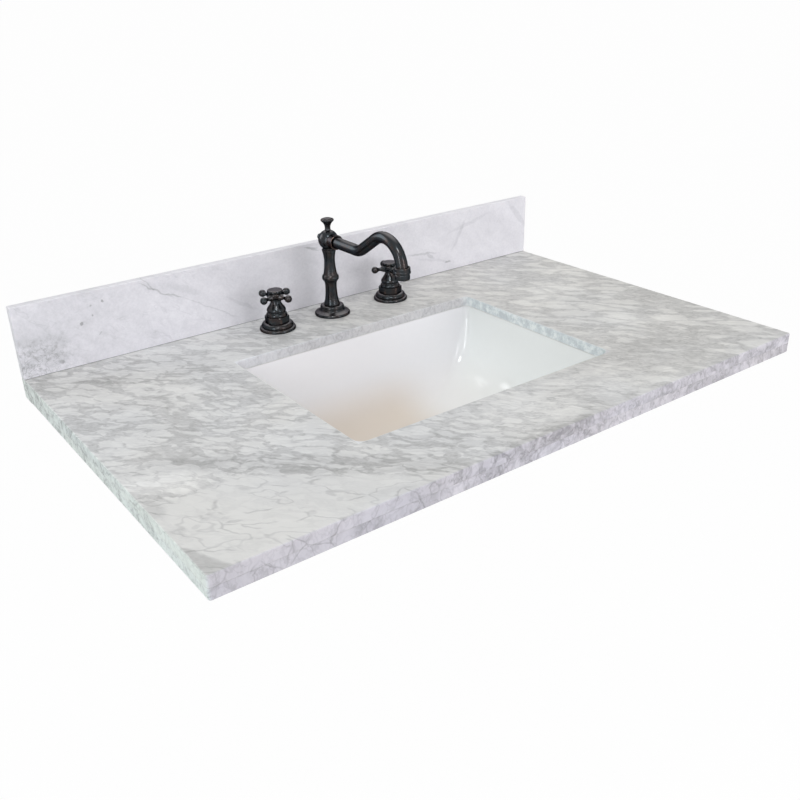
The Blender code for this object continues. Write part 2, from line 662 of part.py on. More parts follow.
def sink_basin():
    levels = bowl_levels()
    inner = [rounded_ring(hx, hy, r, 0, y, z) for hx, hy, y, r, z in levels]
    outer = []
    for index, (hx, hy, y, r, z) in enumerate(levels):
        side, down = outward(levels, index, 0)
        if index == 0:
            continue
        grow = BASIN_WALL * max(side, 0.0)
        outer.append(rounded_ring(hx + grow, hy + grow, r + grow, 0, y, z - BASIN_WALL * down))
    mouth = levels[0]
    rim_x, rim_y, rim_r = (mouth[0] + BASIN_RIM_WIDTH, mouth[1] + BASIN_RIM_WIDTH, mouth[3] + BASIN_RIM_WIDTH)
    rim_low = BASIN_RIM_Z - BASIN_RIM_THICKNESS
    root = BASIN_WALL
    rim = [
        rounded_ring(rim_x, rim_y, rim_r, 0, CUTOUT_Y, BASIN_RIM_Z),
        rounded_ring(rim_x, rim_y, rim_r, 0, CUTOUT_Y, rim_low),
        rounded_ring(mouth[0] + root, mouth[1] + root, mouth[3] + root, 0, CUTOUT_Y, rim_low),
    ]
    rings = list(reversed(inner)) + rim + outer
    basin = loft("sink_basin", rings, CERAMIC)
    boss = rod("basin_boss", BASIN_BOSS_RADIUS, BASIN_FLOOR_Z - BASIN_BOSS_DEPTH, BASIN_FLOOR_Z - BASIN_WALL / 2, None,
               (0, DRAIN_Y, 0), MEDIUM_STEPS)
    join(basin, boss)
    duct_end = DRAIN_Y - DRAIN_HOLE_RADIUS - OVERRUN
    join(basin, front_channel("overflow_duct", OVERFLOW_WIDTH / 2 + OVERFLOW_CHEEK, BASIN_WALL / 3,
                              OVERFLOW_SKIN * 2 + OVERFLOW_GAP, OVERFLOW_HEAD_DROP - OVERFLOW_CHEEK, duct_end))
    cut(basin, front_channel("overflow_passage", OVERFLOW_WIDTH / 2, OVERFLOW_SKIN, OVERFLOW_SKIN + OVERFLOW_GAP,
                             OVERFLOW_HEAD_DROP, DRAIN_Y))
    front = CUTOUT_FRONT
    slot_z = BASIN_RIM_Z - OVERFLOW_SLOT_DROP
    slot = block("overflow_slot", (-OVERFLOW_WIDTH / 2, front - OVERFLOW_SKIN, slot_z - OVERFLOW_HEIGHT / 2),
                 (OVERFLOW_WIDTH / 2, front + OVERFLOW_SKIN * 6, slot_z + OVERFLOW_HEIGHT / 2))
    cut(basin, slot)
    cut(basin, rod("drain_hole", DRAIN_HOLE_RADIUS, BASIN_FLOOR_Z - BASIN_BOSS_DEPTH - OVERRUN,
                   BASIN_FLOOR_Z + OVERRUN, None, (0, DRAIN_Y, 0), HIDDEN_STEPS))
    return basin


def sink_sealant_bead():
    inner_x, inner_y = CUTOUT_WIDTH / 2 + BASIN_REVEAL, CUTOUT_DEPTH / 2 + BASIN_REVEAL
    low, high = BASIN_RIM_Z + TOUCH_GAP, STRIP_THICKNESS - TOUCH_GAP
    spread = BASIN_RIM_WIDTH / 2
    radius = CUTOUT_CORNER_RADIUS + BASIN_REVEAL
    rings = [rounded_ring(inner_x + grow, inner_y + grow, radius + grow, 0, CUTOUT_Y, z)
             for grow, z in ((0.0, low), (spread, low), (spread, high), (0.0, high))]
    return loft("sink_sealant_bead", rings, CLEAR_SEALANT, closed=True)


def sink_clips():
    rim_low = BASIN_RIM_Z - BASIN_RIM_THICKNESS
    high, foot = STRIP_THICKNESS - TOUCH_GAP, rim_low - TOUCH_GAP
    web = CLIP_RIM_GAP + CLIP_PLATE
    outline = ((CLIP_PAD_LENGTH, high), (CLIP_RIM_GAP, high), (CLIP_RIM_GAP, foot), (-CLIP_FOOT_LAP, foot),
               (-CLIP_FOOT_LAP, foot - CLIP_PLATE), (web, foot - CLIP_PLATE), (web, high - CLIP_PLATE),
               (CLIP_PAD_LENGTH, high - CLIP_PLATE))
    under = high - CLIP_PLATE - TOUCH_GAP
    for side, x, y, way in clip_places():
        edge = y + way * BASIN_REVEAL
        clip = prism("sink_clip_" + side, outline, CLIP_WIDTH / 2, STEEL, (x, edge, 0), 0.0 if way > 0 else math.pi)
        hole = rod("clip_hole_" + side, CLIP_BOLT_RADIUS + TOUCH_GAP, under - OVERRUN, high + OVERRUN / 4, None,
                   (x, y + way * CLIP_BOLT_OFFSET, 0), ARM_STEPS)
        cut(clip, hole)
        head = CLIP_BOLT_HEAD_RADIUS
        bolt = [(head, under - CLIP_BOLT_HEAD_HEIGHT), (head, under), (CLIP_BOLT_RADIUS, under),
                (CLIP_BOLT_RADIUS, STRIP_THICKNESS + CLIP_BOLT_DEPTH)]
        turned("clip_bolt_" + side, bolt, STEEL, (x, y + way * CLIP_BOLT_OFFSET, 0), ARM_STEPS)


# Pop-up drain

DRAIN_BODY_TOP = BASIN_FLOOR_Z - DRAIN_BODY_TOP_DROP
DRAIN_BODY_BOTTOM = DRAIN_BODY_TOP - DRAIN_BODY_LENGTH
BOSS_BOTTOM = BASIN_FLOOR_Z - BASIN_BOSS_DEPTH
PIVOT_Z = DRAIN_BODY_TOP - PIVOT_DROP
PIVOT_Y = DRAIN_Y + PIVOT_OFFSET
STRAP_ARM = SPOUT_Y - PIVOT_Y
PIVOT_SWING = LIFT_TRAVEL / STRAP_ARM
PIVOT_REST = -PIVOT_SWING / 2
EYE_Z = PIVOT_Z - PIVOT_OFFSET * math.tan(PIVOT_REST)
STRAP_HOLE_Z = PIVOT_Z + STRAP_ARM * math.tan(PIVOT_REST)


def drain_flange():
    high, low = DRAIN_FLANGE_HEIGHT, -DRAIN_NIPPLE_LENGTH
    gap = TOUCH_GAP
    throat = DRAIN_BORE_RADIUS
    outline = [(DRAIN_NIPPLE_RADIUS, low), (DRAIN_NIPPLE_RADIUS, gap), (DRAIN_FLANGE_RADIUS, gap),
               (DRAIN_FLANGE_RADIUS, high / 2), (DRAIN_FLANGE_RADIUS - high / 3, high),
               (DRAIN_FLANGE_RADIUS - high * 2, high), (throat + high, high / 3)]
    flange = turned("drain_flange", outline, BRONZE, (0, DRAIN_Y, BASIN_FLOOR_Z), MEDIUM_STEPS, throat)
    reach = DRAIN_NIPPLE_RADIUS + OVERRUN
    port_top = -TOUCH_GAP - OVERFLOW_SKIN
    port = block("overflow_port", (-DRAIN_PORT_WIDTH / 2, DRAIN_Y - reach, BASIN_FLOOR_Z + port_top - DRAIN_PORT_HEIGHT),
                 (DRAIN_PORT_WIDTH / 2, DRAIN_Y + reach, BASIN_FLOOR_Z + port_top))
    cut(flange, port)
    return flange


def drain_body():
    outline = [(DRAIN_LOWER_RADIUS, DRAIN_BODY_BOTTOM), (DRAIN_LOWER_RADIUS, PIVOT_Z + PIVOT_BOSS_RADIUS),
               (DRAIN_BODY_RADIUS, PIVOT_Z + PIVOT_BOSS_RADIUS + TOUCH_GAP), (DRAIN_BODY_RADIUS, DRAIN_BODY_TOP)]
    body = turned("drain_body", outline, BRONZE, (0, DRAIN_Y, 0), HIDDEN_STEPS, DRAIN_LOWER_BORE)
    lap = DRAIN_NIPPLE_LENGTH - DRAIN_BODY_TOP_DROP
    boss = rod("pivot_boss", PIVOT_BOSS_RADIUS, (DRAIN_LOWER_RADIUS + DRAIN_LOWER_BORE) / 2, PIVOT_BOSS_END, None,
               (0, DRAIN_Y, PIVOT_Z), SMALL_STEPS)
    join(body, turn_along_y(boss, 1))
    bore = rod("pivot_bore", PIVOT_BALL_RADIUS + TOUCH_GAP, 0.0, PIVOT_BOSS_END + OVERRUN, None,
               (0, DRAIN_Y, PIVOT_Z), SMALL_STEPS)
    cut(body, turn_along_y(bore, 1))
    cut(body, rod("nipple_seat", DRAIN_NIPPLE_RADIUS + TOUCH_GAP, DRAIN_BODY_TOP - lap - TOUCH_GAP,
                  DRAIN_BODY_TOP + OVERRUN, None, (0, DRAIN_Y, 0), MEDIUM_STEPS))
    return body


def drain_seals():
    place = (0, DRAIN_Y, 0)
    bore = DRAIN_BODY_RADIUS + TOUCH_GAP
    top = BOSS_BOTTOM - TOUCH_GAP
    low = top - DRAIN_GASKET_HEIGHT
    taper = DRAIN_GASKET_RADIUS - DRAIN_GASKET_HEIGHT
    turned("drain_gasket", [(DRAIN_GASKET_RADIUS, low), (taper, top)], RUBBER, place, HIDDEN_STEPS, bore)
    top = low - TOUCH_GAP
    low = top - DRAIN_WASHER_HEIGHT
    rod("drain_washer", DRAIN_WASHER_RADIUS, low, top, PLASTIC, place, HIDDEN_STEPS, bore)
    top = low - TOUCH_GAP
    low = top - DRAIN_NUT_HEIGHT
    hexagon("drain_lock_nut", DRAIN_NUT_RADIUS * math.cos(math.pi / 6), low, top, 0.0, BRASS, place, 0.0, bore)


def drain_tailpiece():
    top = DRAIN_BODY_BOTTOM + TAILPIECE_LAP
    return rod("drain_tailpiece", TAILPIECE_RADIUS, top - TAILPIECE_LENGTH, top, BRONZE, (0, DRAIN_Y, 0), HIDDEN_STEPS,
               TAILPIECE_RADIUS - TAILPIECE_WALL)


def drain_stopper():
    seat = BASIN_FLOOR_Z + DRAIN_FLANGE_HEIGHT
    lift = STOPPER_TRAVEL + TOUCH_GAP
    outline = [(r, z) for r, z in scaled(STOPPER_SHARES, STOPPER_RADIUS, STOPPER_HEIGHT, lift)]
    foot = EYE_Z + STOPPER_EYE_RADIUS / 2 - seat
    stem = [(STOPPER_STEM_RADIUS, foot), (STOPPER_STEM_RADIUS, lift)]
    stopper = turned("drain_stopper", stem + outline[1:], BRONZE, (0, DRAIN_Y, seat), MEDIUM_STEPS)
    eye = rod("stopper_eye", STOPPER_EYE_RADIUS, -STOPPER_EYE_WIDTH / 2, STOPPER_EYE_WIDTH / 2, None,
              (0, DRAIN_Y, EYE_Z), SMALL_STEPS)
    join(stopper, turn_along_y(eye, 1))
    hole = rod("stopper_eye_hole", STOPPER_EYE_HOLE, -STOPPER_EYE_WIDTH, STOPPER_EYE_WIDTH, None,
               (0, DRAIN_Y, EYE_Z), ARM_STEPS)
    cut(stopper, turn_along_y(hole, 1))
    return stopper


def pivot_rod():
    """Rod and ball, made along local Z and laid along +Y with its ball on the hinge."""
    start = -PIVOT_ROD_INNER_REACH
    end = STRAP_ARM / math.cos(PIVOT_REST) + PIVOT_ROD_TAIL
    ball = []
    for step in range(7):
        angle = math.radians(155) - math.radians(130) * step / 6
        ball.append((PIVOT_BALL_RADIUS * math.sin(angle), PIVOT_BALL_RADIUS * math.cos(angle)))
    outline = [(PIVOT_ROD_RADIUS, start)] + ball + [(PIVOT_ROD_RADIUS, end)]
    made = turned("pivot_rod", outline, BRASS, (0, PIVOT_Y, PIVOT_Z), ARM_STEPS)
    made.rotation_euler.x = -math.pi / 2 + PIVOT_REST
    return made


def pivot_rod_nut():
    """A cap nut on the drain's side boss, open at its end for the rod's swing."""
    close = PIVOT_BOSS_END + TOUCH_GAP
    end = close + PIVOT_NUT_END
    start = end - PIVOT_NUT_LENGTH
    place = (0, DRAIN_Y, PIVOT_Z)
    nut = rod("pivot_rod_nut", PIVOT_NUT_RADIUS, start, end, BRONZE, place, SMALL_STEPS, PIVOT_NUT_MOUTH)
    turn_along_y(nut, 1)
    thread = rod("pivot_nut_thread", PIVOT_BOSS_RADIUS + TOUCH_GAP, start - OVERRUN, close, None, place, SMALL_STEPS)
    cut(nut, turn_along_y(thread, 1))
    return nut


# Lift rod and its linkage

COLUMN_FOOT = TOP_SURFACE + SPOUT_FLANGE_HEIGHT + TOUCH_GAP
COLUMN_TOP = COLUMN_FOOT + COLUMN_HEIGHT
BALL_Z = COLUMN_TOP + TOUCH_GAP + BALL_RISE
BALL_TOP = BALL_Z + math.sqrt(BALL_RADIUS ** 2 - (GUIDE_RADIUS + TOUCH_GAP) ** 2)
KNOB_FOOT = BALL_TOP + TOUCH_GAP
STRAP_BLOCK_TOP = TOP_SURFACE - STRAP_BLOCK_TOP_DROP


def lift_linkage():
    place = (0, SPOUT_Y, 0)
    rod_low = STRAP_BLOCK_TOP - STRAP_BLOCK_HEIGHT + OVERRUN / 2
    rod("lift_rod", LIFT_ROD_RADIUS, rod_low, KNOB_FOOT + LIFT_KNOB_SOCKET - TOUCH_GAP, BRONZE, place, SMALL_STEPS)
    knob = turned("lift_rod_knob", scaled(LIFT_KNOB_SHARES, LIFT_KNOB_RADIUS, LIFT_KNOB_HEIGHT), BRONZE,
                  (0, SPOUT_Y, KNOB_FOOT), MEDIUM_STEPS)
    cut(knob, rod("knob_socket", LIFT_ROD_RADIUS + TOUCH_GAP, -OVERRUN, LIFT_KNOB_SOCKET, None,
                  (0, SPOUT_Y, KNOB_FOOT), SMALL_STEPS))
    half = STRAP_BLOCK_SIDE / 2
    low = STRAP_BLOCK_TOP - STRAP_BLOCK_HEIGHT
    strap = block("lift_rod_strap", (-half, SPOUT_Y - half, low), (half, SPOUT_Y + half, STRAP_BLOCK_TOP), STEEL)
    plate = block("strap_plate",
                  (-STRAP_WIDTH / 2, SPOUT_Y - STRAP_THICKNESS / 2, STRAP_HOLE_Z - STRAP_END),
                  (STRAP_WIDTH / 2, SPOUT_Y + STRAP_THICKNESS / 2, low + OVERRUN / 4))
    join(strap, plate)
    cut(strap, rod("strap_bore", LIFT_ROD_RADIUS + TOUCH_GAP, rod_low - TOUCH_GAP, STRAP_BLOCK_TOP + OVERRUN,
                   None, place, SMALL_STEPS))
    for index in range(STRAP_HOLES):
        height = STRAP_HOLE_Z + STRAP_HOLE_PITCH * index
        hole = rod("strap_hole_%d" % index, STRAP_HOLE_RADIUS, -OVERRUN, OVERRUN, None, (0, SPOUT_Y, height), ARM_STEPS)
        cut(strap, turn_along_y(hole, 1))
    screw_z = (low + STRAP_BLOCK_TOP) / 2
    tip = LIFT_ROD_RADIUS + TOUCH_GAP
    neck = half + THUMBSCREW_STANDOFF
    outline = [(THUMBSCREW_RADIUS, tip), (THUMBSCREW_RADIUS, neck), (THUMBSCREW_HEAD_RADIUS, neck),
               (THUMBSCREW_HEAD_RADIUS, neck + THUMBSCREW_HEAD_WIDTH)]
    screw = turned("strap_thumbscrew", outline, BRASS, (0, SPOUT_Y, screw_z), ARM_STEPS)
    turn_along_y(screw, 1)
    thread = rod("thumbscrew_thread", THUMBSCREW_RADIUS + TOUCH_GAP, 0.0, half + OVERRUN, None,
                 (0, SPOUT_Y, screw_z), ARM_STEPS)
    cut(strap, turn_along_y(thread, 1))


# Valves and cross handles

VALVE_FLANGE_TOP = TOP_SURFACE + TOUCH_GAP + VALVE_FLANGE_HEIGHT
VALVE_NUT_FOOT = VALVE_FLANGE_TOP + TOUCH_GAP
VALVE_NUT_TOP = VALVE_NUT_FOOT + VALVE_NUT_HEIGHT
BONNET_FOOT = VALVE_NUT_TOP + TOUCH_GAP
BONNET_TOP = BONNET_FOOT + BONNET_HEIGHT
HUB_FOOT = BONNET_TOP + TOUCH_GAP
HUB_TOP = HUB_FOOT + HUB_HEIGHT
VALVE_BODY_TOP = BONNET_FOOT - TOUCH_GAP
VALVE_BODY_BOTTOM = STRIP_THICKNESS - VALVE_BODY_DROP


def valve_body(side, x):
    """Shank, inlet and side outlet of one valve, with a socket for its stem."""
    inlet = VALVE_BODY_BOTTOM - VALVE_INLET_LENGTH
    outline = [(VALVE_INLET_RADIUS, inlet), (VALVE_INLET_RADIUS, VALVE_BODY_BOTTOM),
               (VALVE_BODY_RADIUS, VALVE_BODY_BOTTOM), (VALVE_BODY_RADIUS, VALVE_BODY_TOP)]
    place = (x, VALVE_Y, 0)
    body = turned(side + "_valve_body", outline, BRASS, place, HIDDEN_STEPS)
    way = -1 if x > 0 else 1
    nipple_z = STRIP_THICKNESS - OUTLET_NIPPLE_DROP
    nipple = rod(side + "_outlet", OUTLET_NIPPLE_RADIUS, 0.0, OUTLET_NIPPLE_REACH, None, (x, VALVE_Y, nipple_z),
                 SMALL_STEPS)
    nipple.rotation_euler.y = way * math.pi / 2
    join(body, nipple)
    bore = rod(side + "_outlet_bore", OUTLET_NIPPLE_BORE, VALVE_BODY_RADIUS / 2, OUTLET_NIPPLE_REACH + OVERRUN, None,
               (x, VALVE_Y, nipple_z), ARM_STEPS)
    bore.rotation_euler.y = way * math.pi / 2
    cut(body, bore)
    cut(body, rod(side + "_stem_socket", STEM_RADIUS + TOUCH_GAP, VALVE_BODY_TOP - STEM_FOOT_LAP - TOUCH_GAP,
                  VALVE_BODY_TOP + OVERRUN, None, place, SMALL_STEPS))
    cut(body, rod(side + "_inlet_bore", VALVE_INLET_BORE, inlet - OVERRUN, inlet + VALVE_INLET_BORE_DEPTH, None, place,
                  SMALL_STEPS))
    return body


def washer_and_nut(side, x, y, shank_radius, angle):
    top = STRIP_THICKNESS - TOUCH_GAP
    low = top - FAUCET_WASHER_HEIGHT
    bore = shank_radius + TOUCH_GAP
    rod(side + "_washer", FAUCET_WASHER_RADIUS, low, top, RUBBER, (x, y, 0), HIDDEN_STEPS, bore)
    top = low - TOUCH_GAP
    hexagon(side + "_lock_nut", FAUCET_NUT_FLAT_RADIUS, top - FAUCET_NUT_HEIGHT, top, 0.0, BRASS,
            (x, y, 0), angle, bore)


def cross_arm(name, place, angle):
    """One arm, turned about its own axis: a coned root, a slim waist and a ball on the end."""
    outline = [(ARM_ROOT_RADIUS, ARM_START), (ARM_ROOT_RADIUS, HUB_RADIUS + CAP_HEIGHT / 8),
               ((ARM_ROOT_RADIUS + ARM_WAIST_RADIUS) / 2, (HUB_RADIUS + ARM_REACH / 2) / 2)]
    for reach_share, way in ARM_OUTLINE_SHARES:
        outline.append((ARM_WAIST_RADIUS + (ARM_BALL_RADIUS - ARM_WAIST_RADIUS) * way, ARM_REACH * reach_share))
    for turn in ARM_BALL_ANGLES:
        outline.append((ARM_BALL_RADIUS * math.sin(turn), ARM_REACH + ARM_BALL_RADIUS * math.cos(turn)))
    arm = turned(name, outline, None, place, ARM_STEPS)
    arm.rotation_euler = (0, math.pi / 2, angle)
    return arm


def cross_handle(side, x, angle):
    place = (x, VALVE_Y, HUB_FOOT)
    handle = turned(side + "_cross_handle", scaled(HUB_SHARES, HUB_RADIUS, HUB_HEIGHT), BRONZE, place, MEDIUM_STEPS)
    for index in range(ARM_COUNT):
        arm = cross_arm("%s_arm_%d" % (side, index), (x, VALVE_Y, HUB_FOOT + ARM_HEIGHT),
                        angle + math.tau / ARM_COUNT * index)
        join(handle, arm)
    cut(handle, rod(side + "_hub_socket", STEM_RADIUS + TOUCH_GAP, -OVERRUN, STEM_TOP_LAP, None, place, SMALL_STEPS))
    return handle


def valve(side, x, angle, nut_angle):
    place = (x, VALVE_Y, 0)
    clear = VALVE_BODY_RADIUS + TOUCH_GAP
    valve_body(side, x)
    flange = scaled(VALVE_FLANGE_SHARES, VALVE_FLANGE_RADIUS, VALVE_FLANGE_HEIGHT, TOP_SURFACE + TOUCH_GAP)
    turned(side + "_valve_flange", flange, BRONZE, place, LARGE_STEPS, clear)
    hexagon(side + "_valve_nut", VALVE_NUT_FLAT_RADIUS, VALVE_NUT_FOOT, VALVE_NUT_TOP, VALVE_NUT_CHAMFER, BRONZE,
            place, nut_angle, clear)
    bonnet = scaled(BONNET_SHARES, BONNET_RADIUS, BONNET_HEIGHT, BONNET_FOOT)
    turned(side + "_valve_bonnet", bonnet, BRONZE, place, MEDIUM_STEPS, STEM_RADIUS + TOUCH_GAP)
    rod(side + "_valve_stem", STEM_RADIUS, VALVE_BODY_TOP - STEM_FOOT_LAP, HUB_FOOT + STEM_TOP_LAP - TOUCH_GAP, BRASS,
        place, SMALL_STEPS)
    cross_handle(side, x, angle)
    cap = scaled(CAP_SHARES, CAP_RADIUS, CAP_HEIGHT)
    turned(side + "_handle_cap", cap, BRONZE, (x, VALVE_Y, HUB_TOP + TOUCH_GAP), MEDIUM_STEPS)
    washer_and_nut(side + "_valve", x, VALVE_Y, VALVE_BODY_RADIUS, nut_angle)


# Spout

def spout_path():
    """The tube's centre line from the ball to the outlet, as (reach, height above the ball's centre)."""
    crest = SPOUT_REACH - CREST_FRONT_RADIUS
    sine, cosine = math.sin(RISE_ANGLE), math.cos(RISE_ANGLE)
    line_end = (crest - CREST_BACK_RADIUS * sine, CREST_RISE - CREST_BACK_RADIUS * (1 - cosine))
    foot = line_end[0] - line_end[1] * cosine / sine
    tangent = VALLEY_RADIUS * math.tan(RISE_ANGLE / 2)
    line_start = (foot + tangent * cosine, tangent * sine)

    def line(a, b):
        count = max(1, round(math.dist(a, b) / TUBE_STEP))
        return [(a[0] + (b[0] - a[0]) * i / count, a[1] + (b[1] - a[1]) * i / count) for i in range(count)]

    def arc(centre, radius, start, end):
        count = max(2, round(abs(end - start) * radius / TUBE_STEP))
        return [(centre[0] + radius * math.sin(start + (end - start) * i / count),
                 centre[1] + radius * math.cos(start + (end - start) * i / count)) for i in range(count)]

    path = line((TUBE_START, 0.0), (foot - tangent, 0.0))
    path += arc((foot - tangent, VALLEY_RADIUS), VALLEY_RADIUS, math.pi, math.pi - RISE_ANGLE)
    path += line(line_start, line_end)
    path += arc((crest, CREST_RISE - CREST_BACK_RADIUS), CREST_BACK_RADIUS, -RISE_ANGLE, 0.0)
    path += arc((crest, CREST_RISE - CREST_FRONT_RADIUS), CREST_FRONT_RADIUS, 0.0, math.pi / 2)
    drop = CREST_RISE - CREST_FRONT_RADIUS
    path += [(SPOUT_REACH, drop), (SPOUT_REACH, drop - OUTLET_STRAIGHT)]
    return path


def pipe(name, points, radius, resolution, look=None, location=(0, 0, 0)):
    """A round bar along a path, made as a curve and turned into a closed mesh."""
    curve = bpy.data.curves.new(name, "CURVE")
    curve.dimensions = "3D"
    curve.bevel_depth = radius
    curve.bevel_resolution = resolution
    curve.use_fill_caps = True
    spline = curve.splines.new("POLY")
    spline.points.add(len(points) - 1)
    for point, place in zip(spline.points, points):
        point.co = (*place, 1.0)
    holder = bpy.data.objects.new(name + "_curve", curve)
    bpy.context.scene.collection.objects.link(holder)
    bpy.context.view_layer.update()
    solid = bpy.data.meshes.new_from_object(holder.evaluated_get(bpy.context.evaluated_depsgraph_get()))
    bpy.data.objects.remove(holder, do_unlink=True)
    bm = bmesh.new()
    bm.from_mesh(solid)
    bmesh.ops.remove_doubles(bm, verts=bm.verts, dist=MERGE_DISTANCE)
    bpy.data.meshes.remove(solid)
    return add_object(name, finish_mesh(bm, name), look, location)


def spout_tube():
    path = spout_path()
    centre = [(0.0, -reach, height) for reach, height in path]
    place = (0, SPOUT_Y, BALL_Z)
    tube = pipe("spout_tube", centre, TUBE_RADIUS, TUBE_SIDES_RESOLUTION, BRONZE, place)
    inner = list(centre)
    inner[0] = (0.0, -path[0][0] + OVERRUN, path[0][1])
    inner[-1] = (0.0, -path[-1][0], path[-1][1] - OVERRUN)
    cut(tube, pipe("spout_waterway", inner, TUBE_BORE, TUBE_BORE_RESOLUTION, None, place))
    return tube


def ball_head():
    bottom = math.asin(BALL_NECK_RADIUS / BALL_RADIUS)
    top = math.asin((GUIDE_RADIUS + TOUCH_GAP) / BALL_RADIUS)
    outline = [(BALL_NECK_RADIUS, -BALL_RISE)]
    for step in range(BALL_ARC_STEPS + 1):
        angle = math.pi - bottom + (top - math.pi + bottom) * step / BALL_ARC_STEPS
        outline.append((BALL_RADIUS * math.sin(angle), BALL_RADIUS * math.cos(angle)))
    bore = GUIDE_RADIUS + TOUCH_GAP
    outline = outline[:-1] + [(bore + TOUCH_GAP / 2, outline[-1][1])]
    place = (0, SPOUT_Y, BALL_Z)
    ball = turned("spout_ball_head", outline, BRONZE, place, LARGE_STEPS, bore)
    socket = rod("tube_socket", TUBE_RADIUS + TOUCH_GAP, TUBE_START - TOUCH_GAP, BALL_RADIUS + OVERRUN, None, place,
                 MEDIUM_STEPS)
    cut(ball, turn_along_y(socket, -1))
    return ball


def spout_collar():
    """Socket ring in front of the ball, hollowed behind to sit on the sphere."""
    outline = [(COLLAR_RADIUS, 0.0), (COLLAR_RADIUS, COLLAR_REACH - COLLAR_LIP_LENGTH),
               (COLLAR_RADIUS + COLLAR_LIP, COLLAR_REACH - COLLAR_LIP_LENGTH + COLLAR_LIP),
               (COLLAR_RADIUS + COLLAR_LIP, COLLAR_REACH - COLLAR_LIP), (COLLAR_RADIUS, COLLAR_REACH)]
    place = (0, SPOUT_Y, BALL_Z)
    collar = turned("spout_collar", outline, WORN_BRONZE, place, MEDIUM_STEPS, TUBE_RADIUS + TOUCH_GAP)
    turn_along_y(collar, -1)
    bm = bmesh.new()
    bmesh.ops.create_uvsphere(bm, u_segments=LARGE_STEPS, v_segments=SMALL_STEPS, radius=BALL_RADIUS + TOUCH_GAP)
    cut(collar, add_object("ball_hollow", finish_mesh(bm, "ball_hollow"), None, place))
    return collar


def spout_rear_knob():
    foot = math.sqrt(BALL_RADIUS ** 2 - (REAR_KNOB_RADIUS * REAR_KNOB_SHARES[0][0]) ** 2) + TOUCH_GAP
    knob = turned("spout_rear_knob", scaled(REAR_KNOB_SHARES, REAR_KNOB_RADIUS, REAR_KNOB_LENGTH, foot), BRONZE,
                  (0, SPOUT_Y, BALL_Z), SMALL_STEPS)
    return turn_along_y(knob, 1)


def aerator():
    outlet = BALL_Z + CREST_RISE - CREST_FRONT_RADIUS - OUTLET_STRAIGHT
    top = outlet + AERATOR_TUBE_LAP
    foot = top - AERATOR_HEIGHT
    place = (0, SPOUT_Y - SPOUT_REACH, foot)
    housing = turned("aerator_housing", scaled(AERATOR_SHARES, AERATOR_RADIUS, AERATOR_HEIGHT), BRONZE, place,
                     MEDIUM_STEPS, AERATOR_BORE - AERATOR_TUBE_GAP)
    insert_top = AERATOR_INSERT_RECESS + AERATOR_INSERT_HEIGHT
    cut(housing, rod("aerator_tube_seat", TUBE_RADIUS + AERATOR_TUBE_GAP, AERATOR_HEIGHT - AERATOR_TUBE_LAP - TOUCH_GAP,
                     AERATOR_HEIGHT + OVERRUN, None, place, MEDIUM_STEPS))
    cut(housing, rod("aerator_insert_seat", AERATOR_BORE, -OVERRUN, insert_top + TOUCH_GAP, None, place, MEDIUM_STEPS))
    insert = rod("aerator_insert", AERATOR_BORE - TOUCH_GAP, AERATOR_INSERT_RECESS, insert_top, PLASTIC, place,
                 MEDIUM_STEPS)
    for index in range(AERATOR_HOLES):
        angle = math.tau * index / AERATOR_HOLES
        spot = (AERATOR_HOLE_RING * math.cos(angle), SPOUT_Y - SPOUT_REACH + AERATOR_HOLE_RING * math.sin(angle), foot)
        cut(insert, rod("aerator_hole_%d" % index, AERATOR_HOLE_RADIUS, -OVERRUN, insert_top + OVERRUN, None, spot, 6))


def spout_shank():
    top = COLUMN_FOOT - TOUCH_GAP
    low = STRIP_THICKNESS - SHANK_DROP
    place = (0, SPOUT_Y, 0)
    shank = rod("spout_shank", SHANK_RADIUS, low, top, BRASS, place, HIDDEN_STEPS, SHANK_BORE)
    nipple_z = STRIP_THICKNESS - OUTLET_NIPPLE_DROP
    for side, way in (("left", -1), ("right", 1)):
        nipple = rod("inlet_" + side, OUTLET_NIPPLE_RADIUS, (SHANK_BORE * 4 + SHANK_RADIUS) / 5, OUTLET_NIPPLE_REACH, None,
                     (0, SPOUT_Y, nipple_z), SMALL_STEPS)
        nipple.rotation_euler.y = way * math.pi / 2
        join(shank, nipple)
        bore = rod("inlet_bore_" + side, OUTLET_NIPPLE_BORE, SHANK_BORE / 2, OUTLET_NIPPLE_REACH + OVERRUN, None,
                   (0, SPOUT_Y, nipple_z), ARM_STEPS)
        bore.rotation_euler.y = way * math.pi / 2
        cut(shank, bore)
    collar = low - TOUCH_GAP
    outline = [(GUIDE_COLLAR_RADIUS, collar - GUIDE_COLLAR_HEIGHT), (GUIDE_COLLAR_RADIUS, collar),
               (GUIDE_RADIUS, collar), (GUIDE_RADIUS, BALL_TOP - TOUCH_GAP)]
    turned("lift_rod_guide", outline, BRASS, place, SMALL_STEPS, GUIDE_BORE)


def spout():
    place = (0, SPOUT_Y, 0)
    flange = scaled(SPOUT_FLANGE_SHARES, SPOUT_FLANGE_RADIUS, SPOUT_FLANGE_HEIGHT - TOUCH_GAP, TOP_SURFACE + TOUCH_GAP)
    turned("spout_flange", flange, BRONZE, place, LARGE_STEPS, SHANK_RADIUS + TOUCH_GAP)
    column = scaled(COLUMN_SHARES, COLUMN_BEAD_RADIUS, COLUMN_HEIGHT, COLUMN_FOOT)
    turned("spout_column", column, BRONZE, place, LARGE_STEPS, COLUMN_BORE)
    ball_head()
    spout_rear_knob()
    spout_collar()
    spout_tube()
    aerator()
    spout_shank()
    washer_and_nut("spout", 0.0, SPOUT_Y, SHANK_RADIUS, 0.0)


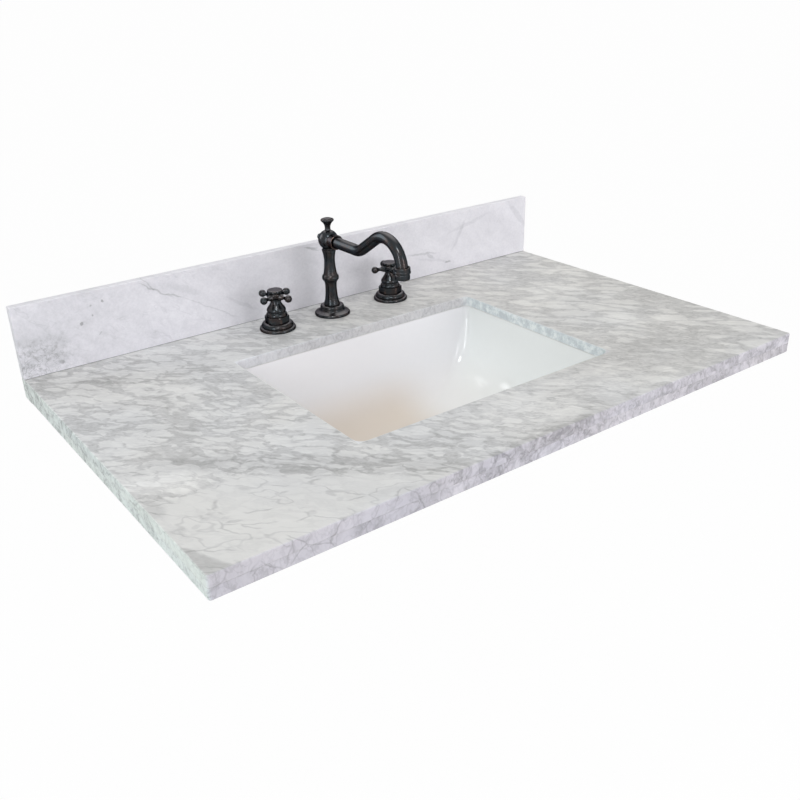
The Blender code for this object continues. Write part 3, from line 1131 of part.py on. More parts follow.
countertop_slab()
edge_strips()
backsplash()
sink_basin()
sink_sealant_bead()
sink_clips()
drain_flange()
drain_body()
drain_seals()
drain_tailpiece()
drain_stopper()
pivot_rod()
pivot_rod_nut()
lift_linkage()
spout()
valve("left", LEFT_VALVE_X, LEFT_HANDLE_ANGLE, LEFT_NUT_ANGLE)
valve("right", RIGHT_VALVE_X, RIGHT_HANDLE_ANGLE, RIGHT_NUT_ANGLE)
bpy.context.view_layer.update()
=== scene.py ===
"""Looks, finer shapes, lights and camera for the vanity sink top."""
import json
import math
from types import SimpleNamespace

import bmesh
import bpy
from mathutils import Matrix, Vector


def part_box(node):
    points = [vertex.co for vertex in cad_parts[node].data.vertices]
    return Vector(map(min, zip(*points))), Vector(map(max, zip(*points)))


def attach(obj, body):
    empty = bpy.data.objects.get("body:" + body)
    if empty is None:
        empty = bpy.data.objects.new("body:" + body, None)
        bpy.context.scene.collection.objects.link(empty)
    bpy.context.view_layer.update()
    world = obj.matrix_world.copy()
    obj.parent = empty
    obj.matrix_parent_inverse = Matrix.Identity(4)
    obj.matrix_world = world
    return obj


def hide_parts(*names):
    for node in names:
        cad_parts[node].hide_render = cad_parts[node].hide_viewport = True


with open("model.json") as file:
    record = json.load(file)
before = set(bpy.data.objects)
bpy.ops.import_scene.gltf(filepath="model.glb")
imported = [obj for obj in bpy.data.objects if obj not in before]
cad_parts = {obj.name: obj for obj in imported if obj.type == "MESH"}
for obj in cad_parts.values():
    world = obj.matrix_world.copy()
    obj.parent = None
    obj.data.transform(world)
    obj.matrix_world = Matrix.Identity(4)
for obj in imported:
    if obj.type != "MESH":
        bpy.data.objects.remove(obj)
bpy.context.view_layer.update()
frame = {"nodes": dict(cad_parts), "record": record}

MM = 0.001

# Camera of the photograph, fitted to the straight edges of the stone
CAMERA_PLACE = Vector((-703.067, -1182.939, 516.706)) * MM
CAMERA_HEADING = math.radians(36.121)
CAMERA_DOWN = math.radians(25.737)
CAMERA_ROLL = math.radians(-1.493)
CAMERA_LENS = 40.66
SENSOR_WIDTH = 36.0
CAMERA_RANGE = 200.0

# Smoothness of the finer pieces
TURNED_STEPS = 72
ARM_STEPS = 32
TUBE_STEPS = 48
SPAN_STEPS = 6
EDGE_STEPS = 4
CORNER_STEPS = 14
BALL_STEPS = 40
TINY = 0.01 * MM
# Faces that meet at more than this angle keep a sharp edge
SHARP_ANGLE = math.radians(50)
NUT_SHARP_ANGLE = math.radians(20)
BASIN_SHARP_ANGLE = math.radians(40)


# Places read from the frame

def centre_of(node):
    low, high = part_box(node)
    return (low + high) / 2


def size_of(node):
    low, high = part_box(node)
    return high - low


BODY_OF = {node: body for body, nodes in frame["record"]["behaviour"]["bodies"].items() for node in nodes}
SLAB_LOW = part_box("countertop_slab")[0]
FRONT_LEFT = Vector((SLAB_LOW.x, SLAB_LOW.y, 0.0))
BALL_CENTRE = Vector((0.0, centre_of("lift_rod_knob").y, centre_of("spout_rear_knob").z))


# Outlines of turned pieces

def curve_point(before, start, end, after, share):
    """A point of the smooth curve through four points, between the middle two."""
    points = [Vector(p) for p in (before, start, end, after)]
    knots = [0.0]
    for a, b in zip(points, points[1:]):
        knots.append(knots[-1] + max(math.sqrt((b - a).length), TINY))
    at = knots[1] + (knots[2] - knots[1]) * share

    def between(a, b, low, high):
        return a + (b - a) * ((at - low) / (high - low))

    first = [between(points[i], points[i + 1], knots[i], knots[i + 1]) for i in range(3)]
    second = [between(first[i], first[i + 1], knots[i], knots[i + 2]) for i in range(2)]
    return between(second[0], second[1], knots[1], knots[2])


def smooth_run(points):
    """Samples of the smooth curve through all the points of one run."""
    if len(points) == 2:
        return [Vector(points[0]), Vector(points[1])]
    ends = [Vector(points[0]) * 2 - Vector(points[1])], [Vector(points[-1]) * 2 - Vector(points[-2])]
    padded = ends[0] + [Vector(p) for p in points] + ends[1]
    samples = []
    for i in range(len(points) - 1):
        for step in range(SPAN_STEPS):
            samples.append(curve_point(*padded[i:i + 4], step / SPAN_STEPS))
    return samples + [Vector(points[-1])]


# A round edge takes at most this share of the straight stretch on each side of it
EDGE_SHARE = 0.45


def rounded(points, corners, edge):
    """Smooth runs between the listed corners, with each corner eased by a small round edge."""
    marks = [0] + sorted(corners) + [len(points) - 1]
    runs = [smooth_run(points[a:b + 1]) for a, b in zip(marks, marks[1:]) if b > a]
    samples = list(runs[0])
    for run in runs[1:]:
        tip = samples.pop()
        back, ahead = samples[-1] - tip, run[1] - tip
        near = tip + back.normalized() * min(edge, back.length * EDGE_SHARE)
        far = tip + ahead.normalized() * min(edge, ahead.length * EDGE_SHARE)
        for step in range(EDGE_STEPS + 1):
            share = step / EDGE_STEPS
            samples.append(near.lerp(tip, share).lerp(tip.lerp(far, share), share))
        samples += run[1:]
    return samples


# Curvature at which the dark finish starts to wear and is worn most, in one over metres
WEAR_FROM = 250.0
WEAR_FULL = 1500.0


def worn(samples):
    """Add to each sample how much its bend invites wear: full on a tight outer edge."""
    values = [0.0] * len(samples)
    for i in range(1, len(samples) - 1):
        into, out = samples[i] - samples[i - 1], samples[i + 1] - samples[i]
        if min(into.length, out.length) > TINY / 10:
            turned_by = math.atan2(into.x * out.y - into.y * out.x, into.dot(out))
            bend = turned_by / ((into.length + out.length) / 2)
            values[i] = min(1.0, max(0.0, (bend - WEAR_FROM) / (WEAR_FULL - WEAR_FROM)))
    return [(point.x, point.y, value) for point, value in zip(samples, values)]


# Mesh building

def new_mesh():
    bm = bmesh.new()
    bm.verts.layers.float.new("wear")
    return bm


def ring_faces(bm, lower, upper):
    """Faces between two rows of one turn, where a row may be a single point on the axis."""
    count = max(len(lower), len(upper))
    for i in range(count):
        j = (i + 1) % count
        corners = [lower[i % len(lower)], lower[j % len(lower)], upper[j % len(upper)], upper[i % len(upper)]]
        corners = [v for k, v in enumerate(corners) if v not in corners[:k]]
        if len(corners) > 2:
            bm.faces.new(corners)


def skin(bm, rows, closed):
    """Faces over rows that follow each other, and from the last back to the first if closed."""
    for lower, upper in zip(rows, rows[1:] + rows[:1] if closed else rows[1:]):
        ring_faces(bm, lower, upper)


def turn(bm, outline, steps=TURNED_STEPS, matrix=None, closed=False):
    """Turn an outline of (radius, height, wear) about the local Z axis."""
    layer = bm.verts.layers.float["wear"]
    matrix = matrix or Matrix.Identity(4)
    rows = []
    for radius, height, wear in outline:
        count = 1 if radius < TINY else steps
        row = []
        for i in range(count):
            angle = math.tau * i / steps
            vert = bm.verts.new(matrix @ Vector((radius * math.cos(angle), radius * math.sin(angle), height)))
            vert[layer] = wear
            row.append(vert)
        rows.append(row)
    skin(bm, rows, closed)


def loft(bm, rings, wears=None, closed=False):
    """Bridge rings of equally many points. An open loft gets a face at each end."""
    layer = bm.verts.layers.float["wear"]
    rows = []
    for k, ring in enumerate(rings):
        row = []
        for i, point in enumerate(ring):
            vert = bm.verts.new(point)
            vert[layer] = wears[k][i] if wears else 0.0
            row.append(vert)
        rows.append(row)
    skin(bm, rows, closed)
    if not closed:
        bm.faces.new(list(reversed(rows[0])))
        bm.faces.new(rows[-1])


def linked(name, data):
    """A new object in the scene."""
    made = bpy.data.objects.new(name, data)
    bpy.context.scene.collection.objects.link(made)
    return made


def to_object(bm, name, sharp=SHARP_ANGLE):
    bmesh.ops.recalc_face_normals(bm, faces=bm.faces)
    mesh = bpy.data.meshes.new(name)
    bm.to_mesh(mesh)
    bm.free()
    mesh.shade_smooth()
    mesh.set_sharp_from_angle(angle=sharp)
    return linked(name, mesh)


def lofted(name, rings):
    bm = new_mesh()
    loft(bm, rings)
    return to_object(bm, name)


def show_look(piece, slot):
    piece.data.materials.clear()
    piece.data.materials.append(LOOK_OF_SLOT[slot])


def dress(piece, slot, node):
    """Give a piece the look of its slot, and let it stand for a CAD node and ride on that node's body."""
    show_look(piece, slot)
    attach(piece, BODY_OF[node])
    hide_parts(node)


def turned_piece(node, samples, slot="dark_bronze", axis=None, closed=False):
    """One turned piece that replaces a node. Heights run from axis, by default the foot of the node's box."""
    low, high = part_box(node)
    middle = (low + high) / 2
    bm = new_mesh()
    turn(bm, samples, matrix=axis or Matrix.Translation((middle.x, middle.y, low.z)), closed=closed)
    dress(to_object(bm, node + "_fine"), slot, node)


# Material building

def srgb(red, green, blue):
    """A colour as it looks on screen, from 0 to 255, as linear values."""
    def linear(value):
        value /= 255
        return value / 12.92 if value <= 0.04045 else ((value + 0.055) / 1.055) ** 2.4
    return (linear(red), linear(green), linear(blue), 1.0)


def empty_tree(owner):
    """The node tree of a material or world, without nodes."""
    owner.use_nodes = True
    owner.node_tree.nodes.clear()
    return owner.node_tree


def add_node(tree, kind, inputs=(), **settings):
    """A new shader node. Each input takes a value, or the output of another node."""
    made = tree.nodes.new("ShaderNode" + kind)
    for name, value in settings.items():
        setattr(made, name, value)
    for name, value in dict(inputs).items():
        give(tree, made.inputs[name], value)
    return made


def give(tree, socket, value):
    value = getattr(value, "socket", value)
    if isinstance(value, bpy.types.NodeSocket):
        tree.links.new(value, socket)
    else:
        socket.default_value = value


class Field:
    """A number, colour or place that changes over a surface. Arithmetic with it adds nodes."""

    def __init__(self, look, socket):
        self.look = look
        self.socket = socket

    def __add__(self, other):
        return self.look.math("ADD", self, other)

    def __sub__(self, other):
        return self.look.math("SUBTRACT", self, other)

    def __rsub__(self, other):
        return self.look.math("SUBTRACT", other, self)

    def __mul__(self, other):
        return self.look.math("MULTIPLY", self, other)

    def __abs__(self):
        return self.look.math("ABSOLUTE", self)


class Look:
    """A node material on one Principled shader, built up by short calls."""

    def __init__(self, name):
        self.material = bpy.data.materials.new(name)
        self.tree = empty_tree(self.material)
        self.shader = add_node(self.tree, "BsdfPrincipled")
        add_node(self.tree, "OutputMaterial", {"Surface": self.shader.outputs["BSDF"]})
        self.place = self.field("TexCoord", output="Object")

    def set(self, **values):
        """Set inputs of the shader, named with underscores for spaces."""
        for name, value in values.items():
            give(self.tree, self.shader.inputs[name.replace("_", " ")], value)

    def field(self, kind, inputs=(), output=0, **settings):
        return Field(self, add_node(self.tree, kind, inputs, **settings).outputs[output])

    def math(self, operation, first, second=0.0):
        return self.field("Math", {0: first, 1: second}, operation=operation)

    def vector(self, operation, first, second):
        return self.field("VectorMath", {0: first, 1: second}, operation=operation)

    def length(self, value):
        return self.field("VectorMath", {0: value}, "Value", operation="LENGTH")

    def turned(self, place, angle, axis="Z_AXIS"):
        return self.field("VectorRotate", {"Vector": place, "Angle": angle}, rotation_type=axis)

    def streaks(self, place, heading, squeeze):
        """The place, seen along a heading and squeezed there, so that a pattern on it runs in streaks."""
        return self.vector("MULTIPLY", self.turned(place, -heading), squeeze)

    def noise(self, place, scale, detail=2.0, roughness=0.5, output="Fac"):
        """Noise from 0 to 1 that lies around 0.5."""
        inputs = {"Vector": place, "Scale": scale, "Detail": detail, "Roughness": roughness}
        return self.field("TexNoise", inputs, output)

    def to_edge(self, place, scale):
        """Distance to the nearest border between cells."""
        inputs = {"Vector": place, "Scale": scale}
        return self.field("TexVoronoi", inputs, "Distance", feature="DISTANCE_TO_EDGE")

    def span(self, value, low, high, start=0.0, end=1.0):
        """Smoothly from start, where the value is low, to end, where it is high."""
        inputs = {"Value": value, "From Min": low, "From Max": high, "To Min": start, "To Max": end}
        return self.field("MapRange", inputs, interpolation_type="SMOOTHSTEP")

    def fade(self, value, low, high):
        return self.span(value, low, high, 1.0, 0.0)

    def mix(self, share, first, second, blend="MIX"):
        return self.field("Mix", {0: share, 6: first, 7: second}, 2, data_type="RGBA", blend_type=blend)

    def tinted(self, share, colour, tint):
        return self.mix(share, colour, tint, "MULTIPLY")

    def parts(self, value):
        return [Field(self, socket) for socket in add_node(self.tree, "SeparateXYZ", {0: value}).outputs]

    def joined(self, x, y):
        return self.field("CombineXYZ", {0: x, 1: y})

    def warped(self, place, *warps):
        """The place, pushed about by noises, each of a scale, about how far it reaches, and its detail."""
        for scale, reach, detail in warps:
            push = self.vector("SUBTRACT", self.noise(place, scale, detail, output="Color"), (0.5, 0.5, 0.5))
            push = self.vector("MULTIPLY", push, (reach * 2, reach * 2, reach * 2))
            place = self.vector("ADD", place, push)
        return place

    def ramp(self, value, stops):
        node = add_node(self.tree, "ValToRGB", {0: value})
        ramp = node.color_ramp
        while len(ramp.elements) < len(stops):
            ramp.elements.new(0.5)
        for element, (position, colour) in zip(ramp.elements, stops):
            element.position = position
            element.color = colour
        return Field(self, node.outputs["Color"])

    def bump(self, height, depth, strength):
        return self.field("Bump", {"Height": height, "Distance": depth, "Strength": strength})


# Stone of the top and its edge

STRIP_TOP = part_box("edge_strip_front")[1].z
JOINT_LINE = 0.35 * MM
EASED_EDGE = 0.9 * MM
BASIN_RIM_WIDTH = 20 * MM
DRAIN_SETBACK = 20 * MM
BASIN_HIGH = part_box("sink_basin")[1]
CUTOUT_MIDDLE = Vector((0.0, centre_of("drain_stopper").y - DRAIN_SETBACK, 0.0))
CUTOUT_HALF_X = BASIN_HIGH.x - BASIN_RIM_WIDTH
CUTOUT_HALF_Y = BASIN_HIGH.y - BASIN_RIM_WIDTH - CUTOUT_MIDDLE.y
# How far away the strips' pattern is taken from, across and deep
STRIP_SHIFT = (0.137, 0.061)


def own_pattern(look):
    """The place in the stone. The strips below the bonding line are other pieces, cut from elsewhere."""
    below = look.math("LESS_THAN", look.parts(look.place)[2], STRIP_TOP)
    return look.vector("ADD", look.place, look.joined(below * STRIP_SHIFT[0], below * STRIP_SHIFT[1]))


def in_cutout(look):
    """1 on the walls of the basin cutout and on its eased edge."""
    x, y, _ = look.parts(look.vector("SUBTRACT", look.place, tuple(CUTOUT_MIDDLE)))
    across = look.math("LESS_THAN", abs(x), CUTOUT_HALF_X + EASED_EDGE)
    return across * look.math("LESS_THAN", abs(y), CUTOUT_HALF_Y + EASED_EDGE)


def bonding_line(look):
    """1 in the thin line where the strips meet the slab."""
    return look.fade(abs(look.parts(look.place)[2] - STRIP_TOP), 0.0, JOINT_LINE)


# A patch is full inside the first share of its half length and width, and gone outside the second
PATCH_SHARES = (0.7, 1.35)


def patches(look, spot, table):
    """Sum of soft oval patches: each has a middle, half length, half width, heading and strength."""
    total = 0.0
    for x, y, half_length, half_width, heading, strength in table:
        moved = look.vector("SUBTRACT", spot, (x * MM, y * MM, 0.0))
        squeeze = (1 / (half_length * MM), 1 / (half_width * MM), 0.0)
        moved = look.streaks(moved, math.radians(heading), squeeze)
        total = look.fade(look.length(moved), *PATCH_SHARES) * strength + total
    return total


# Patches of the top, in mm from its front left corner
TOP_PATCHES = (
    (38, 176, 44, 20, -32, 0.22), (452, 55, 62, 34, -22, 0.15), (600, 40, 34, 17, -35, 0.14),
    (738, 322, 44, 22, -50, 0.14), (806, 352, 46, 28, -40, 0.15), (868, 424, 36, 17, -48, 0.14),
    (795, 178, 50, 22, -42, 0.16), (430, 452, 26, 18, -20, 0.1), (640, 440, 40, 16, -25, 0.08),
    (120, 440, 36, 14, -40, 0.1), (150, 380, 30, 12, -45, 0.1), (545, 90, 30, 12, -40, 0.1),
    (6, 133, 12, 18, 0, -0.2), (185, 110, 170, 20, -40, -0.17), (90, 470, 60, 9, -38, -0.16),
    (70, 320, 90, 30, -42, -0.06), (330, 60, 90, 16, -40, -0.1), (700, 110, 90, 30, -42, -0.06),
    (480, 462, 40, 10, -42, -0.1), (360, 455, 50, 12, -20, -0.08), (60, 395, 70, 10, -40, -0.08),
    (110, 480, 130, 55, -20, -0.1), (800, 430, 110, 90, -20, 0.05), (420, -2, 100, 10, 0, -0.22),
    (240, 0, 60, 12, -20, -0.08),
    (130, 30, 5, 4, 0, -0.14), (166, 34, 4, 4, 0, -0.12), (28, 78, 5, 4, 0, -0.14), (40, 84, 6, 3, 0, -0.12),
)
# The same for the front and side faces of the strips only
STRIP_PATCHES = (
    (28, 0, 34, 30, 0, -0.12), (178, 0, 20, 30, 0, -0.22), (250, 0, 16, 30, 0, -0.12),
    (470, 0, 140, 30, 0, 0.16),
)
STREAK_HEADING = math.radians(-48)
# Edge of the pale zone in the front left corner, how softly it ends, and the grey wedge in its tip
PALE_EDGE_POINT = (71 * MM, 170 * MM)
PALE_EDGE_HEADING = math.radians(-38.4)
PALE_REAR_LIMIT = 143 * MM
PALE_FADE = 7 * MM
PALE_OVERLAP = 3 * MM
WEDGE_WIDTH = 27 * MM
WEDGE_DEPTH = 62 * MM
WEDGE_BLUR = 0.1

# Pushes of the pattern: scale of the noise, reach and detail
STONE_WARPS = ((9, 16 * MM, 2), (60, 4 * MM, 2))
RAGGED_WARP = (150, 4 * MM, 3)
SPOT_WARPS = ((45, 5 * MM, 3), (160, 1.5 * MM, 2))
CRACK_WARPS = ((30, 9 * MM, 2), (110, 2 * MM, 2))
# Noises: scale, detail and roughness
GRAINS = (420, 3, 0.65)
STREAKS = (70, 4, 0.6)
SIDE_CLOUDS = (55, 4, 0.65)
FLECKS = (85, 3, 0.6)
CLOUD_SCALE = 10
HUE_SCALE = 6
# Branching lines: scale, width and detail
VEINS = (34, 0.03)
THREADS = (88, 0.045)
HAIRLINES = (26, 0.016, 2.0)
RIDGE_ROUGHNESS = 0.55
# Cracks of the pale zone: scale of their cells and of the gaps in them, their width, and the hairlines' share
CRACK_SCALE = 34
CRACK_GAP_SCALE = 30
CRACK_WIDTH = 0.045
HAIRLINE_SHARE = 0.7
# Pale islands: scale, least and greatest width of the grey between them, and softness
LEFT_ISLANDS = (68, -0.12, 0.24, 0.12)
RIGHT_ISLANDS = (40, -0.06, 0.26, 0.2)
SMALL_ISLANDS = (130, -0.08, 0.26, 0.2)
GREY_WIDTH_SCALE = 0.7
GREY_WIDTH_SPAN = (0.3, 0.7)
# How far a pattern is squeezed along its streaks, across them and in height
STREAK_SQUEEZE = (0.4, 1.0, 0.6)
CRACK_SQUEEZE = (0.42, 1.0, 1.0)
# Spans: two values of a field, and what it becomes at each
TO_RIGHT = (-0.2, 0.38)
VIVID = (-0.3, 0.4, 0.92, 1.05)
STREAKY = (0.36, 0.58, 0.1, 1.0)
UNBROKEN = (0.45, 0.6)
FRONT_LIFT = (0.0, 0.3, 0.06, 0.0)
LEFT_LIFT = (FRONT_LEFT.y, FRONT_LEFT.y + 0.36, 0.4, 0.16)
# Painted light: the cutout's walls lighter toward their left end, over the shade there
WALL_PAINTED_LIGHT = (-CUTOUT_HALF_X, -0.4 * CUTOUT_HALF_X, 0.3, 0.03)
HUE_SPAN = (0.35, 0.65, 0.0, 0.6)
# How much each feature lightens the stone, or darkens it where minus, in shares of the colour ramp
TOP = SimpleNamespace(
    level=0.6, islands=0.26, small_islands=0.12, veins=-0.1, threads=-0.14, grey_grains=0.5, grains=0.1,
    clouds=0.22, pale=0.08, pale_front=-0.14, wedge=-0.3, cracks=-0.3, joint=-0.12, front_lines=-0.12,
    left_lines=-0.3, left_clouds=1.0, wall_grains=0.25, fleck_grains=0.5, fleck_clouds=0.3,
)
# Shares by which the pattern is calmer in the pale zone and on the cutout's walls, and by which the walls
# take less of the painted light tints
CALM_IN_PALE = 0.74
CALM_ON_WALLS = 0.62
UNTINTED_WALLS = 0.8
HUE_TO_RIGHT = 0.4
TOP_TONES = (
    (0.0, srgb(156, 156, 155)), (0.25, srgb(179, 179, 178)), (0.5, srgb(202, 202, 201)),
    (0.72, srgb(218, 218, 216)), (1.0, srgb(232, 232, 230)),
)
# Painted light: lighter, bluish tones for cutout walls that face the left, as if lit from the left; the
# flecks in them are the stone's own
WALL_PAINTED_LIGHT_TONES = ((0.36, srgb(206, 213, 217)), (0.5, srgb(219, 227, 230)), (0.64, srgb(240, 245, 246)))
COOL_HUE = srgb(252, 253, 255)
WARM_HUE = srgb(255, 254, 252)
# Painted light: the bluish tint of the light in the basin cutout
WALL_LIGHT_TINT = srgb(250, 251, 255)
# Painted light: tints of the light that falls on faces toward the front and toward the left
FRONT_LIGHT_TINT = srgb(249, 246, 255)
LEFT_LIGHT_TINT = srgb(246, 255, 252)
# Gloss of both stones
STONE_ROUGHNESS = (0.3, 0.7, 0.4, 0.5)
STONE_RELIEF = (0.03 * MM, 0.4)


def ridge(look, place, scale, width, detail=3.0):
    """Thin branching lines where a noise crosses its middle value."""
    return look.fade(abs(look.noise(place, scale, detail, RIDGE_ROUGHNESS) - 0.5), 0.0, width)


def facing(look):
    """How far a face looks to the left, to the front and up, each from 0 to 1."""
    parts = look.parts(look.field("TexCoord", output="Normal"))
    return [look.math("MAXIMUM", part * sign, 0.0) for part, sign in zip(parts, (-1.0, -1.0, 1.0))]


def painted_light_tints(look, colour, strength):
    """Painted light: upright faces take a faint tint of the light that falls on them, violet toward the
    front, green toward the left.
    """
    left, front, _ = facing(look)
    return look.tinted(left * strength, look.tinted(front * strength, colour, FRONT_LIGHT_TINT), LEFT_LIGHT_TINT)


def pale_zone(look, spot):
    """1 inside the pale zone of the front left corner."""
    across = (-math.sin(PALE_EDGE_HEADING), math.cos(PALE_EDGE_HEADING))
    offset = across[0] * PALE_EDGE_POINT[0] + across[1] * PALE_EDGE_POINT[1]
    x, y, _ = look.parts(spot)
    inside = look.fade(x * across[0] + y * across[1] - offset, -PALE_FADE, PALE_OVERLAP)
    return inside * look.fade(y, PALE_REAR_LIMIT - PALE_FADE, PALE_REAR_LIMIT)


def corner_wedge(look, spot):
    """1 inside the grey wedge in the very corner."""
    x, y, _ = look.parts(spot)
    return look.span(x * (-1 / WEDGE_WIDTH) + y * (-1 / WEDGE_DEPTH) + 1.0, -WEDGE_BLUR, WEDGE_BLUR)


def islands(look, place, scale, narrow, wide, soft):
    """1 on pale islands and 0 in the grey matter between them, whose width changes from place to place."""
    widths = look.noise(place, scale * GREY_WIDTH_SCALE, detail=3, roughness=0.6)
    width = look.span(widths, *GREY_WIDTH_SPAN, narrow, wide)
    return look.span(look.to_edge(place, scale) - width, 0.0, soft)


def top_fields(look):
    """The fields that the top's stone is made from, and the place that its marks are set out on."""
    x, y, z = look.parts(look.place)
    left, front, up = facing(look)
    own = look.warped(own_pattern(look), *STONE_WARPS)
    along = look.streaks(own, STREAK_HEADING, STREAK_SQUEEZE)
    ragged = look.warped(along, RAGGED_WARP)
    to_right = look.span(x, *TO_RIGHT)
    coarse = [islands(look, ragged, *sizes) for sizes in (LEFT_ISLANDS, RIGHT_ISLANDS)]
    spot = look.vector("SUBTRACT", look.warped(look.place, *SPOT_WARPS), tuple(FRONT_LEFT))
    spot = look.vector("MULTIPLY", spot, (1.0, 1.0, 0.0))
    veins, threads = ridge(look, along, *VEINS), ridge(look, along, *THREADS)
    return SimpleNamespace(
        x=x, y=y, z=z, left=left, front=front, up=up, along=along, to_right=to_right, spot=spot,
        islands=look.mix(to_right, *coarse), small_islands=islands(look, ragged, *SMALL_ISLANDS),
        veins=veins, threads=threads, lines=look.math("MAXIMUM", veins, threads),
        clouds=look.noise(own, CLOUD_SCALE), hues=look.noise(own, HUE_SCALE),
        grains=look.noise(along, *GRAINS), pale=pale_zone(look, spot), inner=in_cutout(look),
    )


def cracks(look, stone):
    """Thin lines of the pale zone, longer along the streaks and broken in places."""
    place = look.streaks(look.warped(look.place, *CRACK_WARPS), STREAK_HEADING, CRACK_SQUEEZE)
    web = look.fade(look.to_edge(place, CRACK_SCALE), 0.0, CRACK_WIDTH)
    web = web * look.span(look.noise(look.place, CRACK_GAP_SCALE), *UNBROKEN)
    return look.math("MAXIMUM", web, ridge(look, stone.along, *HAIRLINES) * HAIRLINE_SHARE)


def top_pattern(look, stone):
    """Islands, veins and grains, calmer in the pale zone and on the cutout's walls."""
    grey = 1 - stone.islands
    pattern = ((stone.islands - 0.5) * TOP.islands + (stone.small_islands - 0.5) * TOP.small_islands
               + stone.veins * TOP.veins + stone.threads * grey * TOP.threads
               + (stone.grains - 0.5) * TOP.grey_grains * grey)
    calm = (1 - stone.pale * CALM_IN_PALE) * (1 - stone.inner * CALM_ON_WALLS)
    return pattern * look.span(stone.x, *VIVID) * calm


def top_marks(look, stone):
    """Clouds and patches, the pale zone with its cracks and wedge, and the strips' own patches."""
    # Above the strips this spot lies a metre away, out of reach of their patches
    above = look.math("GREATER_THAN", stone.z, STRIP_TOP)
    strip_spot = look.vector("ADD", stone.spot, look.joined(0.0, above))
    streaky = look.span(look.noise(stone.along, *STREAKS), *STREAKY)
    return ((stone.clouds - 0.5) * TOP.clouds + (stone.grains - 0.5) * TOP.grains
            + patches(look, stone.spot, TOP_PATCHES) + patches(look, strip_spot, STRIP_PATCHES) * streaky
            + stone.pale * (stone.front * TOP.pale_front + TOP.pale)
            + stone.pale * cracks(look, stone) * TOP.cracks
            + corner_wedge(look, stone.spot) * stone.up * TOP.wedge + bonding_line(look) * TOP.joint)


def top_sides(look, stone):
    """What the front, the left side and the cutout's walls have beyond the top: the front lighter toward its
    left end, the left side lighter, most toward the front, both with veins and the left side with clouds, and
    on the walls grains and painted light that lightens them toward their left end.
    """
    clouds = (look.noise(look.place, *SIDE_CLOUDS) - 0.5) * TOP.left_clouds
    outer = 1 - stone.inner
    return (stone.front * (outer * look.span(stone.x, *FRONT_LIFT) + stone.lines * TOP.front_lines)
            + stone.left * (outer * look.span(stone.y, *LEFT_LIFT) + stone.lines * TOP.left_lines + clouds)
            + stone.inner * ((stone.grains - 0.5) * TOP.wall_grains + look.span(stone.x, *WALL_PAINTED_LIGHT)))


def finish_stone(look, colour, grain):
    """The gloss and the fine relief that both stones share."""
    look.set(Base_Color=colour, Roughness=look.span(grain, *STONE_ROUGHNESS), IOR=1.5, Specular_IOR_Level=0.3)
    look.set(Normal=look.bump(grain, *STONE_RELIEF))
    return look.material


def marble_top():
    """White marble with grey matter between pale lenses that run from the rear left to the front right."""
    look = Look("marble_top_look")
    stone = top_fields(look)
    level = top_pattern(look, stone) + top_marks(look, stone) + top_sides(look, stone) + TOP.level
    hue = look.span(stone.hues, *HUE_SPAN) + stone.to_right * HUE_TO_RIGHT
    colour = look.tinted(1.0, look.ramp(level, TOP_TONES), look.mix(hue, COOL_HUE, WARM_HUE))
    # Painted light: the cutout's walls and eased edge take a bluish light tint
    colour = look.tinted(stone.inner, colour, WALL_LIGHT_TINT)
    flecks = (look.noise(look.place, *FLECKS) + (stone.grains - 0.5) * TOP.fleck_grains
              + (stone.clouds - 0.5) * TOP.fleck_clouds)
    # Painted light: cutout walls that face the left take the lighter, bluish, flecked tones
    colour = look.mix(stone.inner * stone.left, colour, look.ramp(flecks, WALL_PAINTED_LIGHT_TONES))
    # Painted light tints on upright faces, weaker on the cutout's walls
    return finish_stone(look, painted_light_tints(look, colour, 1 - stone.inner * UNTINTED_WALLS), stone.grains)


# Marks of the backsplash, in mm from its lower left corner
SPLASH_PATCHES = (
    (30, 34, 34, 17, 20, -0.14), (47, 16, 18, 8, 10, -0.16), (12, 50, 14, 7, -30, -0.14),
    (88, 58, 2.4, 2.4, 0, -0.6), (121, 83, 1.8, 1.8, 0, -0.42), (52, 12, 4, 2.5, 0, -0.3),
    (36, 20, 3, 2, 0, -0.25), (105, 66, 1.6, 1.6, 0, -0.36), (105, 79, 1.4, 1.4, 0, -0.3),
    (110, 39, 3, 1.2, 30, -0.2), (198, 81, 26, 1.1, -33, -0.26), (224, 68, 12, 1.2, -20, -0.26),
    (276, 38, 50, 1.0, -31, -0.16), (188, 92, 14, 1.0, -52, -0.18), (240, 74, 30, 5, -25, -0.08),
    (330, 30, 30, 2.4, -33, -0.12), (455, 93, 12, 1.6, -8, -0.34), (462, 89, 8, 1.4, -20, -0.26),
    (675, 40, 30, 2, -6, -0.24), (692, 32, 9, 2.4, -30, -0.24), (730, 16, 6, 1.8, 0, -0.3),
    (780, 76, 46, 3, 12, -0.12), (756, 60, 30, 3, 60, -0.12), (895, 70, 34, 5, -50, -0.14),
    (700, 24, 40, 2, -14, -0.1),
)
SPLASH_HEADING = math.radians(33)
SPLASH_SQUEEZE = (0.35, 1.0, 1.0)
# Pushes, noises, lines and spans, with their numbers in the same order as those of the top
SPLASH_WARP = (30, 7 * MM, 3)
MARK_WARP = (70, 4 * MM, 3)
NET_WARP = (90, 3 * MM, 2)
SOFT_CLOUDS = (26, 4, 0.6)
FINE_GRAIN = (300, 3, 0.6)
MOTTLE = (75, 4, 0.68)
SPECKLE = (150, 3, 0.6)
VEINED_SCALE = 18
SPLASH_VEINS = (17, 0.01, 4.0)
SPLASH_THREADS = (44, 0.02)
CORNER_NET = (130, 0.05, 2.0)
TO_LEFT = (0.0, 0.42, 1.0, 0.45)
VEINED = (0.44, 0.6)
CORNER_WIDTH = (20 * MM, 90 * MM)
CORNER_HEIGHT = (25 * MM, 60 * MM)
LEFT_END_LIFT = (0.02, 0.3, -0.05, 0.06)
